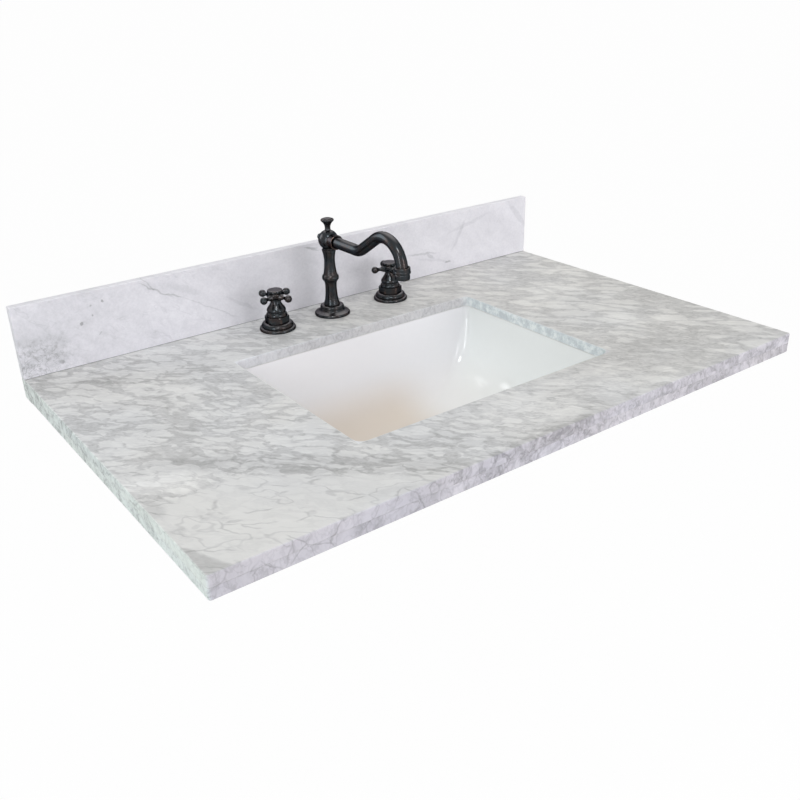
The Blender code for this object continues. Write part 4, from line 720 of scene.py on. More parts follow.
# Painted light: the splash lighter toward its right end
RIGHT_END_PAINTED_LIGHT = (0.3, 0.85, 0.0, 0.08)
SPLASH = SimpleNamespace(level=0.62, clouds=0.5, grain=0.3, marks=1.25, speckle=0.8, mottle=0.55, net=-0.34,
                         veins=-0.16, threads=-0.12)
SPLASH_TONES = (
    (0.0, srgb(170, 170, 173)), (0.35, srgb(204, 204, 208)), (0.6, srgb(221, 220, 225)),
    (1.0, srgb(244, 243, 247)),
)


def marble_splash():
    """Bluish white marble with faint slanting veins, more of them at the left end, and painted light that
    lightens its right end.
    """
    look = Look("marble_splash_look")
    low = tuple(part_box("backsplash")[0])
    place = look.warped(look.turned(look.place, math.pi / 2, "X_AXIS"), SPLASH_WARP)
    along = look.streaks(place, SPLASH_HEADING, SPLASH_SQUEEZE)
    grain = look.noise(look.place, *FINE_GRAIN)
    x, _, z = look.parts(look.vector("SUBTRACT", look.warped(look.place, MARK_WARP), low))
    veins = (ridge(look, along, *SPLASH_VEINS) * SPLASH.veins
             + ridge(look, along, *SPLASH_THREADS) * SPLASH.threads)
    veins = veins * look.span(look.noise(place, VEINED_SCALE), *VEINED)
    mottle = (look.noise(place, *MOTTLE) - 0.5) * SPLASH.mottle
    net = ridge(look, look.warped(look.place, NET_WARP), *CORNER_NET) * SPLASH.net
    speckle = (look.noise(look.place, *SPECKLE) - 0.5) * SPLASH.speckle
    corner = look.fade(x, *CORNER_WIDTH) * look.fade(z, *CORNER_HEIGHT)
    level = ((look.noise(along, *SOFT_CLOUDS) - 0.5) * SPLASH.clouds + (grain - 0.5) * SPLASH.grain
             + patches(look, look.joined(x, z), SPLASH_PATCHES) * SPLASH.marks + (net + speckle) * corner
             + (veins + mottle) * look.span(x, *TO_LEFT)
             + look.span(x, *LEFT_END_LIFT) + look.span(x, *RIGHT_END_PAINTED_LIGHT) + SPLASH.level)
    return finish_stone(look, look.ramp(level, SPLASH_TONES), grain)


# Other materials

# Painted warm bounce light: depths below the basin's rim between which the bowl turns warm, and its least
# share, on the right
PAINTED_BOUNCE_DEPTHS = (125 * MM, 58 * MM)
PAINTED_BOUNCE_SPAN = (0.02, 0.12, 1.0, 0.2)
# Share of the painted light tints on the glaze
CHINA_TINT_SHARE = 0.4
GLAZE_SPECKS = (160, 3, 0.6)
GLAZE_SHADES = (0.2, 0.8, 0.0, 0.25)
GLAZE_ROUGHNESS = (0.3, 0.7, 0.1, 0.14)
GLAZE_WAVE_SCALE = 45
# Bronze: its noises, where brown begins and ends in the clouds, how flat an upward face must be for the
# painted sheen, where wear shows
BRONZE_CLOUDS = (90, 4, 0.6)
BRONZE_GRAIN = (900, 3, 0.6)
BROWN_SPAN = (0.42, 0.68)
FLAT_SPAN = (0.75, 1.0)
WORN_SPAN = (0.4, 0.62, 0.15, 1.0)
# Painted sheen: the light from above, mirrored by faces that look up
PAINTED_TOP_SHEEN = srgb(150, 147, 148)
BRONZE_GLINT = srgb(160, 160, 163)
BRONZE_ROUGHNESS = 0.23
# Plain metals
METAL_CLOUDS = (220, 4, 0.6)
BRUSH_MARKS = (1400, 2, 0.6)
BRUSH_SQUEEZE = (1.0, 1.0, 0.08)
# How far the roughness swings with a noise
GRAIN_SWING = 0.08
CLOUD_SWING = 0.1
BRUSHED_SWING = 0.14
MOULDED_SWING = 0.12
# Relief: its depth and strength
GLAZE_RELIEF = (0.12 * MM, 0.3)
CAST_RELIEF = (0.02 * MM, 0.25)
BRUSHED_RELIEF = (0.02 * MM, 0.4)
MOULDED_RELIEF = (0.05 * MM, 0.4)


def china():
    """White glaze, with painted warm bounce light toward the floor of the bowl, most on its left."""
    look = Look("vitreous_china_look")
    x, _, z = look.parts(look.place)
    # Painted warm bounce light, deepest in the bowl and most on its left
    deep, shallow = (BASIN_HIGH.z - depth for depth in PAINTED_BOUNCE_DEPTHS)
    painted_bounce = look.fade(z, deep, shallow) * look.span(x, *PAINTED_BOUNCE_SPAN)
    speck = look.noise(look.place, *GLAZE_SPECKS)
    shade = look.mix(look.span(speck, *GLAZE_SHADES), srgb(242, 243, 243), srgb(238, 239, 239))
    # Painted light tints on the glaze's upright faces
    colour = painted_light_tints(look, look.mix(painted_bounce, shade, srgb(226, 215, 201)), CHINA_TINT_SHARE)
    look.set(Base_Color=colour, Roughness=look.span(speck, *GLAZE_ROUGHNESS), IOR=1.52)
    look.set(Coat_Weight=0.4, Coat_Roughness=0.03)
    look.set(Normal=look.bump(look.noise(look.place, GLAZE_WAVE_SCALE), *GLAZE_RELIEF))
    return look.material


def bronze(name, dark, brown, copper, wear_strength, top_sheen_strength):
    """Oil rubbed bronze: near black, a little brown in places, worn through to copper on its edges, and with
    a painted sheen of light from above on faces that look up.
    """
    look = Look(name)
    cloud = look.noise(look.place, *BRONZE_CLOUDS)
    grain = look.noise(look.place, *BRONZE_GRAIN)
    body = look.mix(look.span(cloud, *BROWN_SPAN), dark, brown)
    # Painted sheen: faces that look up are lighter, as if they mirror the light from above
    body = look.mix(look.span(facing(look)[2], *FLAT_SPAN) * top_sheen_strength, body, PAINTED_TOP_SHEEN)
    wear = look.field("Attribute", output="Fac", attribute_name="wear")
    rubbed = wear * look.span(cloud, *WORN_SPAN) * wear_strength
    look.set(Base_Color=look.mix(rubbed, body, copper), Metallic=1.0, Specular_Tint=BRONZE_GLINT)
    look.set(Roughness=(grain - 0.5) * GRAIN_SWING + (cloud - 0.5) * CLOUD_SWING + BRONZE_ROUGHNESS)
    look.set(Normal=look.bump(grain, *CAST_RELIEF))
    return look.material


def plain_metal(name, first, second, roughness):
    """Clouded metal with fine brush marks along its height."""
    look = Look(name)
    brushed = look.noise(look.vector("MULTIPLY", look.place, BRUSH_SQUEEZE), *BRUSH_MARKS)
    look.set(Base_Color=look.mix(look.noise(look.place, *METAL_CLOUDS), first, second), Metallic=1.0)
    look.set(Roughness=(brushed - 0.5) * BRUSHED_SWING + roughness)
    look.set(Normal=look.bump(brushed, *BRUSHED_RELIEF))
    return look.material


def moulded(name, first, second, roughness, scale=400):
    """Plastic, rubber or sealant with a fine grain."""
    look = Look(name)
    grain = look.noise(look.place, scale, detail=4, roughness=0.6)
    look.set(Base_Color=look.mix(grain, first, second), Roughness=(grain - 0.5) * MOULDED_SWING + roughness)
    look.set(Normal=look.bump(grain, *MOULDED_RELIEF))
    return look.material


# The dark, brown and copper of each bronze
DARK_BRONZE = (srgb(58, 62, 65), srgb(68, 62, 61), srgb(132, 106, 95))
LIGHTER_BRONZE = (srgb(62, 60, 62), srgb(74, 64, 61), srgb(176, 136, 118))
# The number after the colours is the roughness, and one after that is the scale of the grain
LOOK_OF_SLOT = {
    "marble_top": marble_top(),
    "marble_splash": marble_splash(),
    "vitreous_china": china(),
    "dark_bronze": bronze("dark_bronze_look", *DARK_BRONZE, wear_strength=0.3, top_sheen_strength=0.9),
    "worn_bronze": bronze("worn_bronze_look", *LIGHTER_BRONZE, wear_strength=0.42, top_sheen_strength=0.15),
    "bare_brass": plain_metal("brass_look", srgb(196, 160, 96), srgb(172, 136, 78), 0.3),
    "zinc_steel": plain_metal("zinc_steel_look", srgb(190, 192, 194), srgb(164, 167, 171), 0.36),
    "black_rubber": moulded("black_rubber_look", srgb(38, 38, 39), srgb(50, 50, 51), 0.68),
    "white_plastic": moulded("white_plastic_look", srgb(226, 226, 224), srgb(214, 214, 212), 0.42),
    "joint_silicone": moulded("grey_silicone_look", srgb(148, 149, 150), srgb(166, 167, 168), 0.45, 160),
    "rim_sealant": moulded("white_sealant_look", srgb(240, 240, 238), srgb(230, 230, 228), 0.3, 160),
}


def dress_nodes():
    """Every CAD node takes the look of its material slot."""
    for part in frame["record"]["subparts"]:
        show_look(frame["nodes"][part["node"]], part["material_slot"])


# Faucet outlines from the foot up: share of the radius, share of the height, and the corners among them
VALVE_FLANGE = ((
    (0.4, 0.0), (1.0, 0.0), (1.0, 0.2), (0.975, 0.32), (0.91, 0.38), (0.865, 0.42), (0.87, 0.5),
    (0.885, 0.56), (0.865, 0.74), (0.79, 0.91), (0.69, 1.0), (0.4, 1.0),
), (1, 5, 10))
BONNET = ((
    (0.3, 0.0), (1.0, 0.0), (1.0, 0.08), (0.95, 0.17), (0.855, 0.215), (0.82, 0.26), (0.905, 0.31),
    (0.93, 0.38), (0.905, 0.46), (0.81, 0.57), (0.67, 0.7), (0.56, 0.83), (0.505, 0.93), (0.49, 1.0),
    (0.3, 1.0),
), (1, 5, 13))
SPOUT_FLANGE = ((
    (0.3, 0.0), (1.0, 0.0), (1.0, 0.17), (0.962, 0.265), (0.86, 0.34), (0.75, 0.44), (0.688, 0.54),
    (0.676, 0.82), (0.645, 0.94), (0.59, 1.0), (0.3, 1.0),
), (1, 3, 9))
COLUMN = ((
    (0.3, 0.0), (0.945, 0.0), (0.92, 0.025), (0.82, 0.085), (0.74, 0.165), (0.685, 0.275), (0.685, 0.36),
    (0.72, 0.403), (0.83, 0.435), (0.96, 0.462), (1.0, 0.492), (0.96, 0.522), (0.83, 0.55), (0.755, 0.6),
    (0.67, 0.7), (0.635, 0.8), (0.67, 0.872), (0.735, 0.93), (0.82, 0.975), (0.838, 1.0), (0.3, 1.0),
), (1, 7, 12, 19))
LIFT_KNOB = ((
    (0.0, 0.0), (0.47, 0.0), (0.43, 0.14), (0.43, 0.26), (0.5, 0.42), (0.64, 0.57), (0.88, 0.71), (1.0, 0.78),
    (1.0, 0.87), (0.93, 0.91), (0.72, 0.92), (0.68, 0.96), (0.45, 0.995), (0.2, 1.0), (0.0, 1.0),
), (1, 7, 8, 10))
REAR_KNOB = ((
    (0.0, 0.0), (0.46, 0.0), (0.46, 0.15), (0.8, 0.26), (0.97, 0.4), (1.0, 0.54), (0.93, 0.74), (0.7, 0.9),
    (0.36, 0.985), (0.12, 1.0), (0.0, 1.0),
), (1, 2))
AERATOR = ((
    (0.72, 0.0), (0.86, 0.0), (0.885, 0.03), (0.885, 0.38), (0.84, 0.43), (0.84, 0.49), (1.0, 0.53),
    (1.0, 0.64), (0.955, 0.69), (0.955, 0.96), (0.915, 1.0), (0.78, 1.0), (0.72, 0.9),
), tuple(range(1, 12)))
CAP = ((
    (0.0, 0.0), (0.9, 0.0), (0.985, 0.12), (1.0, 0.3), (1.0, 0.72), (0.95, 0.92), (0.82, 1.0), (0.4, 1.03),
    (0.0, 1.04),
), (1, 6))
HUB = ((
    (0.0, 0.0), (1.12, 0.0), (1.15, 0.18), (1.3, 0.36), (1.47, 0.52), (1.55, 0.72), (1.52, 0.9), (1.4, 1.0),
    (0.0, 1.0),
), (1, 7))
FINE_EDGE = 0.35 * MM
AERATOR_EDGE = 0.25 * MM


def outline(kind, radius, height, edge=FINE_EDGE):
    shares, corners = kind
    return worn(rounded([(radius * r, height * h) for r, h in shares], corners, edge))


def upright(node, kind, closed=False, edge=FINE_EDGE):
    """A turned piece that fills its node's box."""
    size = size_of(node)
    turned_piece(node, outline(kind, size.x / 2, size.z, edge), closed=closed)


# Valves and handles
NUT_SIDES = 6
NUT_STEPS = 16
NUT_FLAT_RADIUS = 16.5 * MM
NUT_CHAMFER = 1.6 * MM
NUT_CORNER_EASE = 0.5 * MM
NUT_BORE_SHARE = 0.72
NUT_LEVELS = 10
NUT_WEAR_SHARE = 0.75
NUT_ANGLE = {"left": math.radians(20), "right": math.radians(26)}
HANDLE_ANGLE = {"left": math.radians(19.5), "right": math.radians(-13.5)}
HUB_RADIUS = 7.2 * MM
ARM_COUNT = 4
ARM_HEIGHT = 6.3 * MM
ARM_REACH = 25.2 * MM
ARM_BALL_RADIUS = 5.5 * MM
ARM_ROOT_RADIUS = 5.2 * MM
ARM_WAIST_RADIUS = 2.5 * MM
ARM_START = 4.6 * MM
# Radius of an arm, and how far out, as a share of its reach
ARM_SHARES = ((ARM_ROOT_RADIUS, 0.42), (ARM_ROOT_RADIUS * 0.78, 0.52), (ARM_WAIST_RADIUS * 1.15, 0.62),
              (ARM_WAIST_RADIUS, 0.7), (ARM_WAIST_RADIUS * 1.2, 0.77))
ARM_CORNERS = (1, 2, 7)
ARM_BALL_DEGREES = range(140, -1, -10)
ARM_WEAR_SHARE = 0.4


def nut_ring(height, envelope, centre, angle):
    """One level of a hexagonal nut, limited to the turned chamfer's radius there."""
    corner = NUT_FLAT_RADIUS / math.cos(math.pi / NUT_SIDES)
    ring, wears = [], []
    count = NUT_SIDES * NUT_STEPS
    for i in range(count):
        turn_by = math.tau * i / count
        off = (turn_by + math.pi / NUT_SIDES) % (math.tau / NUT_SIDES) - math.pi / NUT_SIDES
        reach = min(NUT_FLAT_RADIUS / math.cos(off), corner - NUT_CORNER_EASE)
        radius = min(reach, envelope)
        at = turn_by + angle + math.pi / NUT_SIDES
        ring.append((centre.x + radius * math.cos(at), centre.y + radius * math.sin(at), height))
        outness = (reach - NUT_FLAT_RADIUS) / (corner - NUT_CORNER_EASE - NUT_FLAT_RADIUS)
        wears.append(min(1.0, max(0.0, outness - NUT_WEAR_SHARE) / (1 - NUT_WEAR_SHARE)))
    return ring, wears


def valve_nut(side):
    node = side + "_valve_nut"
    low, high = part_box(node)
    centre = (low + high) / 2
    corner = NUT_FLAT_RADIUS / math.cos(math.pi / NUT_SIDES)
    levels = [(low.z, corner * NUT_BORE_SHARE)]
    for step in range(NUT_LEVELS + 1):
        height = low.z + (high.z - low.z) * step / NUT_LEVELS
        from_end = min(height - low.z, high.z - height)
        levels.append((height, corner - NUT_CHAMFER * max(0.0, 1 - from_end / (NUT_CHAMFER / 2))))
    levels.append((high.z, corner * NUT_BORE_SHARE))
    rings = [nut_ring(height, envelope, centre, NUT_ANGLE[side]) for height, envelope in levels]
    bm = new_mesh()
    loft(bm, [ring for ring, _ in rings], [wears for _, wears in rings], closed=True)
    dress(to_object(bm, node + "_fine", NUT_SHARP_ANGLE), "dark_bronze", node)


def arm_outline():
    """A cross arm along its own axis: a coned root, a slim waist and a ball."""
    points = [(0.0, ARM_START), (ARM_ROOT_RADIUS, ARM_START)]
    points += [(radius, ARM_REACH * share) for radius, share in ARM_SHARES]
    for degrees in ARM_BALL_DEGREES:
        angle = math.radians(degrees)
        points.append((ARM_BALL_RADIUS * math.sin(angle), ARM_REACH + ARM_BALL_RADIUS * math.cos(angle)))
    samples = rounded(points, ARM_CORNERS, FINE_EDGE)
    return [(x, y, wear * ARM_WEAR_SHARE) for x, y, wear in worn(samples)]


def cross_handle(side):
    node = side + "_cross_handle"
    stem = centre_of(side + "_valve_stem")
    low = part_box(node)[0].z
    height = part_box(side + "_handle_cap")[0].z - low
    place = Vector((stem.x, stem.y, low))
    bm = new_mesh()
    turn(bm, outline(HUB, HUB_RADIUS, height), matrix=Matrix.Translation(place))
    for index in range(ARM_COUNT):
        heading = HANDLE_ANGLE[side] + math.tau / ARM_COUNT * index
        axis = Matrix.Translation(place + Vector((0, 0, ARM_HEIGHT)))
        axis = axis @ Matrix.Rotation(heading, 4, "Z") @ Matrix.Rotation(math.pi / 2, 4, "Y")
        turn(bm, arm_outline(), ARM_STEPS, axis)
    dress(to_object(bm, node + "_fine"), "dark_bronze", node)


def valve(side):
    upright(side + "_valve_flange", VALVE_FLANGE, closed=True)
    valve_nut(side)
    upright(side + "_valve_bonnet", BONNET, closed=True)
    cross_handle(side)
    upright(side + "_handle_cap", CAP)


# Spout
BALL_RADIUS = 15.2 * MM
BALL_NECK_RADIUS = 9.6 * MM
BALL_BORE_SHARE = 0.5
COLLAR_REACH = 24 * MM
COLLAR_LIP = 0.5 * MM
COLLAR_LIP_LENGTH = 3 * MM
COLLAR_BORE_GAP = 0.4 * MM
COLLAR_BORE_DEPTH = 2 * MM
TUBE_RADIUS = 8.4 * MM
TUBE_START = 7 * MM
SPOUT_REACH = 185.5 * MM
CREST_RISE = 33.2 * MM
CREST_FRONT_RADIUS = 38.5 * MM
CREST_BACK_RADIUS = 42 * MM
VALLEY_RADIUS = 32 * MM
RISE_ANGLE = math.radians(33)
OUTLET_STRAIGHT = 4 * MM
TUBE_PITCH = 2 * MM


def ball_head():
    """A ball on a short neck, with the foot at the column's top."""
    low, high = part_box("spout_ball_head")
    neck = math.asin(BALL_NECK_RADIUS / BALL_RADIUS)
    crown = math.acos(min(1.0, (high.z - BALL_CENTRE.z) / BALL_RADIUS))
    foot = low.z - BALL_CENTRE.z
    points = [(BALL_NECK_RADIUS * BALL_BORE_SHARE, foot), (BALL_NECK_RADIUS, foot)]
    for step in range(BALL_STEPS + 1):
        angle = math.pi - neck + (crown - math.pi + neck) * step / BALL_STEPS
        points.append((BALL_RADIUS * math.sin(angle), BALL_RADIUS * math.cos(angle)))
    points.append((BALL_RADIUS * math.sin(crown) * BALL_BORE_SHARE, BALL_RADIUS * math.cos(crown)))
    samples = [(x, y, 0.0) for x, y in points]
    turned_piece("spout_ball_head", samples, axis=Matrix.Translation(BALL_CENTRE), closed=True)


def lying(direction, start):
    """Local Z laid along +Y or -Y, from a point that far from the ball's centre."""
    return (Matrix.Translation(BALL_CENTRE + Vector((0, direction * start, 0)))
            @ Matrix.Rotation(-math.pi / 2 * direction, 4, "X"))


def spout_collar():
    radius = size_of("spout_collar").x / 2 - COLLAR_LIP
    sink = math.sqrt(BALL_RADIUS ** 2 - (radius - COLLAR_LIP) ** 2)
    bore = TUBE_RADIUS + COLLAR_BORE_GAP
    points = [(TUBE_RADIUS, sink), (radius, sink), (radius, COLLAR_REACH - COLLAR_LIP_LENGTH),
              (radius + COLLAR_LIP, COLLAR_REACH - COLLAR_LIP_LENGTH + COLLAR_LIP),
              (radius + COLLAR_LIP, COLLAR_REACH - COLLAR_LIP), (radius, COLLAR_REACH),
              (bore, COLLAR_REACH), (bore, COLLAR_REACH - COLLAR_BORE_DEPTH)]
    samples = worn(rounded(points, range(1, len(points) - 1), FINE_EDGE))
    turned_piece("spout_collar", samples, "worn_bronze", lying(-1, 0.0), True)


def rear_knob():
    low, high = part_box("spout_rear_knob")
    radius, reach = (high.x - low.x) / 2, high.y - low.y
    axis = lying(1, low.y - BALL_CENTRE.y)
    samples = outline(REAR_KNOB, radius, reach)
    turned_piece("spout_rear_knob", samples, axis=axis)


def arc(centre, radius, start, end):
    count = max(3, round(abs(end - start) * radius / TUBE_PITCH))
    return [(centre[0] + radius * math.sin(start + (end - start) * i / count),
             centre[1] + radius * math.cos(start + (end - start) * i / count)) for i in range(count + 1)]


def line(a, b):
    count = max(1, round(math.dist(a, b) / TUBE_PITCH))
    return [(a[0] + (b[0] - a[0]) * i / count, a[1] + (b[1] - a[1]) * i / count) for i in range(count + 1)]


def spout_path():
    """The tube's centre line from the ball to the outlet, as (reach, height above the ball's centre)."""
    crest = SPOUT_REACH - CREST_FRONT_RADIUS
    back = (crest, CREST_RISE - CREST_BACK_RADIUS)
    line_end = (back[0] - CREST_BACK_RADIUS * math.sin(RISE_ANGLE),
                back[1] + CREST_BACK_RADIUS * math.cos(RISE_ANGLE))
    tangent = VALLEY_RADIUS * math.tan(RISE_ANGLE / 2)
    foot = line_end[0] - line_end[1] / math.tan(RISE_ANGLE)
    line_start = (foot + tangent * math.cos(RISE_ANGLE), tangent * math.sin(RISE_ANGLE))
    path = line((TUBE_START, 0.0), (foot - tangent, 0.0))
    path += arc((foot - tangent, VALLEY_RADIUS), VALLEY_RADIUS, math.pi, math.pi - RISE_ANGLE)
    path += line(line_start, line_end)
    path += arc(back, CREST_BACK_RADIUS, -RISE_ANGLE, 0.0)
    path += arc((crest, CREST_RISE - CREST_FRONT_RADIUS), CREST_FRONT_RADIUS, 0.0, math.pi / 2)
    drop = CREST_RISE - CREST_FRONT_RADIUS
    path += line((SPOUT_REACH, drop), (SPOUT_REACH, drop - OUTLET_STRAIGHT))
    kept = [path[0]]
    for point in path[1:]:
        if math.dist(point, kept[-1]) > TUBE_PITCH / 4:
            kept.append(point)
    return kept


def spout_tube():
    path = [BALL_CENTRE + Vector((0.0, -reach, height)) for reach, height in spout_path()]
    rings = []
    for i, point in enumerate(path):
        ahead = (path[min(i + 1, len(path) - 1)] - path[max(i - 1, 0)]).normalized()
        side = Vector((1.0, 0.0, 0.0))
        up = side.cross(ahead)
        ring = []
        for k in range(TUBE_STEPS):
            angle = math.tau * k / TUBE_STEPS
            ring.append(point + (side * math.cos(angle) + up * math.sin(angle)) * TUBE_RADIUS)
        rings.append(ring)
    dress(lofted("spout_tube_fine", rings), "dark_bronze", "spout_tube")


def spout():
    upright("spout_flange", SPOUT_FLANGE, closed=True)
    upright("spout_column", COLUMN, closed=True)
    ball_head()
    spout_collar()
    rear_knob()
    spout_tube()
    upright("aerator_housing", AERATOR, closed=True, edge=AERATOR_EDGE)
    upright("lift_rod_knob", LIFT_KNOB)


# Undermount basin
BASIN_DEPTH = 127 * MM
BASIN_WALL = 10 * MM
BASIN_RIM_THICKNESS = 12 * MM
FLOOR_HALF_WIDTH = 80 * MM
FLOOR_HALF_DEPTH = 46 * MM
FLOOR_CORNER = 34 * MM
MOUTH_CORNER = 12 * MM
BOSS_RADIUS = 39 * MM
BOSS_DEPTH = 33 * MM
DRAIN_HOLE_RADIUS = 22.5 * MM
OVERFLOW_WIDTH = 28 * MM
OVERFLOW_HEIGHT = 9 * MM
OVERFLOW_SKIN = 5 * MM
OVERFLOW_GAP = 8 * MM
OVERFLOW_CHEEK = 8 * MM
OVERFLOW_SLOT_DROP = 31 * MM
OVERFLOW_HEAD_DROP = 20 * MM
OVERRUN = 2 * MM
SLOT_REACH = 30 * MM
RIM_EASE = 1 * MM
# The outer surface starts this share of the rim's thickness down; the duct reaches this share into the wall
OUTER_START_SHARE = 1.5
DUCT_SINK_SHARE = 1 / 3
RIM_Z = BASIN_HIGH.z
FLOOR_Z = RIM_Z - BASIN_DEPTH
DRAIN = centre_of("drain_stopper")
CUTOUT_Y = CUTOUT_MIDDLE.y
# How the bowl closes in: share of the depth, share of the way in, share of the corner's growth
BOWL_SHARES = (
    (0.0, 0.0, 0.0), (0.2, 0.028, 0.1), (0.42, 0.084, 0.22), (0.6, 0.155, 0.34), (0.74, 0.256, 0.5),
    (0.85, 0.39, 0.72), (0.925, 0.548, 1.0), (0.97, 0.71, 1.15), (0.992, 0.86, 1.1), (1.0, 1.0, 1.0),
)


def rounded_ring(half_x, half_y, radius, y, z):
    """Points of a rectangle with round corners, anticlockwise from above."""
    points = []
    for index, (sx, sy) in enumerate(((1, 1), (-1, 1), (-1, -1), (1, -1))):
        cx, cy = sx * (half_x - radius), y + sy * (half_y - radius)
        for step in range(CORNER_STEPS + 1):
            angle = math.pi / 2 * (index + step / CORNER_STEPS)
            points.append((cx + radius * math.cos(angle), cy + radius * math.sin(angle), z))
    return points


def bowl_levels():
    """Half widths, centre, corner radius and height of the bowl's inside, from its mouth to its floor."""
    levels = []
    for depth, way, corner in smooth_run(BOWL_SHARES):
        half_x = CUTOUT_HALF_X + (FLOOR_HALF_WIDTH - CUTOUT_HALF_X) * way
        half_y = CUTOUT_HALF_Y + (FLOOR_HALF_DEPTH - CUTOUT_HALF_Y) * way
        radius = MOUTH_CORNER + (FLOOR_CORNER - MOUTH_CORNER) * corner
        levels.append((half_x, half_y, CUTOUT_Y + DRAIN_SETBACK * way, radius, RIM_Z - BASIN_DEPTH * depth))
    return levels


def outward(levels, index, axis):
    """Unit normal of the bowl's profile at one level, as its sideways and downward parts."""
    before = levels[max(index - 1, 0)]
    after = levels[min(index + 1, len(levels) - 1)]
    inward, down = before[axis] - after[axis], before[-1] - after[-1]
    length = math.hypot(inward, down)
    return down / length, inward / length


def front_channel(name, half_width, near, far, head_drop, end_y):
    """A channel that follows the bowl's front wall, between two distances from it, down to its floor."""
    levels = bowl_levels()
    rings = []
    for index, (_, half_y, y, _, z) in enumerate(levels):
        side, down = outward(levels, index, 1)
        if z < RIM_Z - head_drop:
            a = (y - half_y - side * near, z - down * near)
            b = (y - half_y - side * far, z - down * far)
            rings.append([(-half_width, *a), (half_width, *a), (half_width, *b), (-half_width, *b)])
    rings.append([(-half_width, end_y, FLOOR_Z - near), (half_width, end_y, FLOOR_Z - near),
                  (half_width, end_y, FLOOR_Z - far), (-half_width, end_y, FLOOR_Z - far)])
    return lofted(name, rings)


def plain_rod(name, radius, low, high, place):
    bm = new_mesh()
    turn(bm, [(0.0, low, 0.0), (radius, low, 0.0), (radius, high, 0.0), (0.0, high, 0.0)],
         matrix=Matrix.Translation((place.x, place.y, 0.0)))
    return to_object(bm, name)


def plain_block(name, low, high):
    ring = [(low[0], low[1]), (high[0], low[1]), (high[0], high[1]), (low[0], high[1])]
    return lofted(name, [[(x, y, z) for x, y in ring] for z in (low[2], high[2])])


def combine(target, tool, operation):
    """Apply one Boolean operation and remove the tool."""
    modifier = target.modifiers.new("shape", "BOOLEAN")
    modifier.operation = operation
    modifier.solver = "EXACT"
    modifier.object = tool
    bpy.context.view_layer.update()
    mesh = bpy.data.meshes.new_from_object(target.evaluated_get(bpy.context.evaluated_depsgraph_get()))
    target.modifiers.clear()
    target.data = mesh
    bpy.data.objects.remove(tool, do_unlink=True)


def basin_shell():
    """The bowl with its rim and its outer surface, still without holes."""
    levels = bowl_levels()
    inner = [rounded_ring(hx, hy, r, y, z) for hx, hy, y, r, z in levels]
    outer = []
    for index, (hx, hy, y, r, z) in enumerate(levels):
        side, down = outward(levels, index, 0)
        if RIM_Z - z > BASIN_RIM_THICKNESS * OUTER_START_SHARE:
            grow = BASIN_WALL * max(side, 0.0)
            outer.append(rounded_ring(hx + grow, hy + grow, r + grow, y, z - BASIN_WALL * down))
    mouth_x, mouth_y, _, mouth_r, _ = levels[0]
    underside = RIM_Z - BASIN_RIM_THICKNESS
    eased = BASIN_RIM_WIDTH - RIM_EASE
    rim = [rounded_ring(mouth_x + grow, mouth_y + grow, mouth_r + grow, CUTOUT_Y, z) for grow, z in (
        (eased, RIM_Z), (BASIN_RIM_WIDTH, RIM_Z - RIM_EASE), (BASIN_RIM_WIDTH, underside + RIM_EASE),
        (eased, underside), (BASIN_WALL, underside))]
    return lofted("sink_basin_fine", list(reversed(inner)) + rim + outer)


def basin():
    made = basin_shell()
    boss = plain_rod("boss", BOSS_RADIUS, FLOOR_Z - BOSS_DEPTH, FLOOR_Z - BASIN_WALL / 2, DRAIN)
    duct = front_channel("duct", OVERFLOW_WIDTH / 2 + OVERFLOW_CHEEK, BASIN_WALL * DUCT_SINK_SHARE,
                         OVERFLOW_SKIN * 2 + OVERFLOW_GAP, OVERFLOW_HEAD_DROP - OVERFLOW_CHEEK,
                         DRAIN.y - DRAIN_HOLE_RADIUS - OVERRUN)
    passage = front_channel("passage", OVERFLOW_WIDTH / 2, OVERFLOW_SKIN, OVERFLOW_SKIN + OVERFLOW_GAP,
                            OVERFLOW_HEAD_DROP, DRAIN.y)
    front = CUTOUT_Y - CUTOUT_HALF_Y
    slot_z = RIM_Z - OVERFLOW_SLOT_DROP
    slot = plain_block("slot", (-OVERFLOW_WIDTH / 2, front - OVERFLOW_SKIN, slot_z - OVERFLOW_HEIGHT / 2),
                       (OVERFLOW_WIDTH / 2, front + SLOT_REACH, slot_z + OVERFLOW_HEIGHT / 2))
    hole = plain_rod("hole", DRAIN_HOLE_RADIUS, FLOOR_Z - BOSS_DEPTH - OVERRUN, FLOOR_Z + OVERRUN, DRAIN)
    for tool in (boss, duct):
        combine(made, tool, "UNION")
    for tool in (passage, slot, hole):
        combine(made, tool, "DIFFERENCE")
    made.data.shade_smooth()
    made.data.set_sharp_from_angle(angle=BASIN_SHARP_ANGLE)
    dress(made, "vitreous_china", "sink_basin")


# Camera, lights and stage
FLOOR_DROP = 0.82
FLOOR_REACH = 60.0
FLOOR_GRID = 8
FLOOR_COLOUR = srgb(246, 246, 246)
FLOOR_WHITE_SHARE = 0.97
WHITE = (1.0, 1.0, 1.0, 1.0)
SKY_COLOUR = (0.8, 0.8, 0.8, 1.0)
AMBIENT = 0.58
# Light of the world: the axis that it comes along, from which end, and its colour
SKY_LIGHTS = ((2, 1.0, srgb(255, 254, 253)), (0, -1.0, srgb(250, 254, 253)), (1, -1.0, srgb(252, 251, 255)))
LAMP_TARGET = Vector((0.0, -0.2, 0.05))
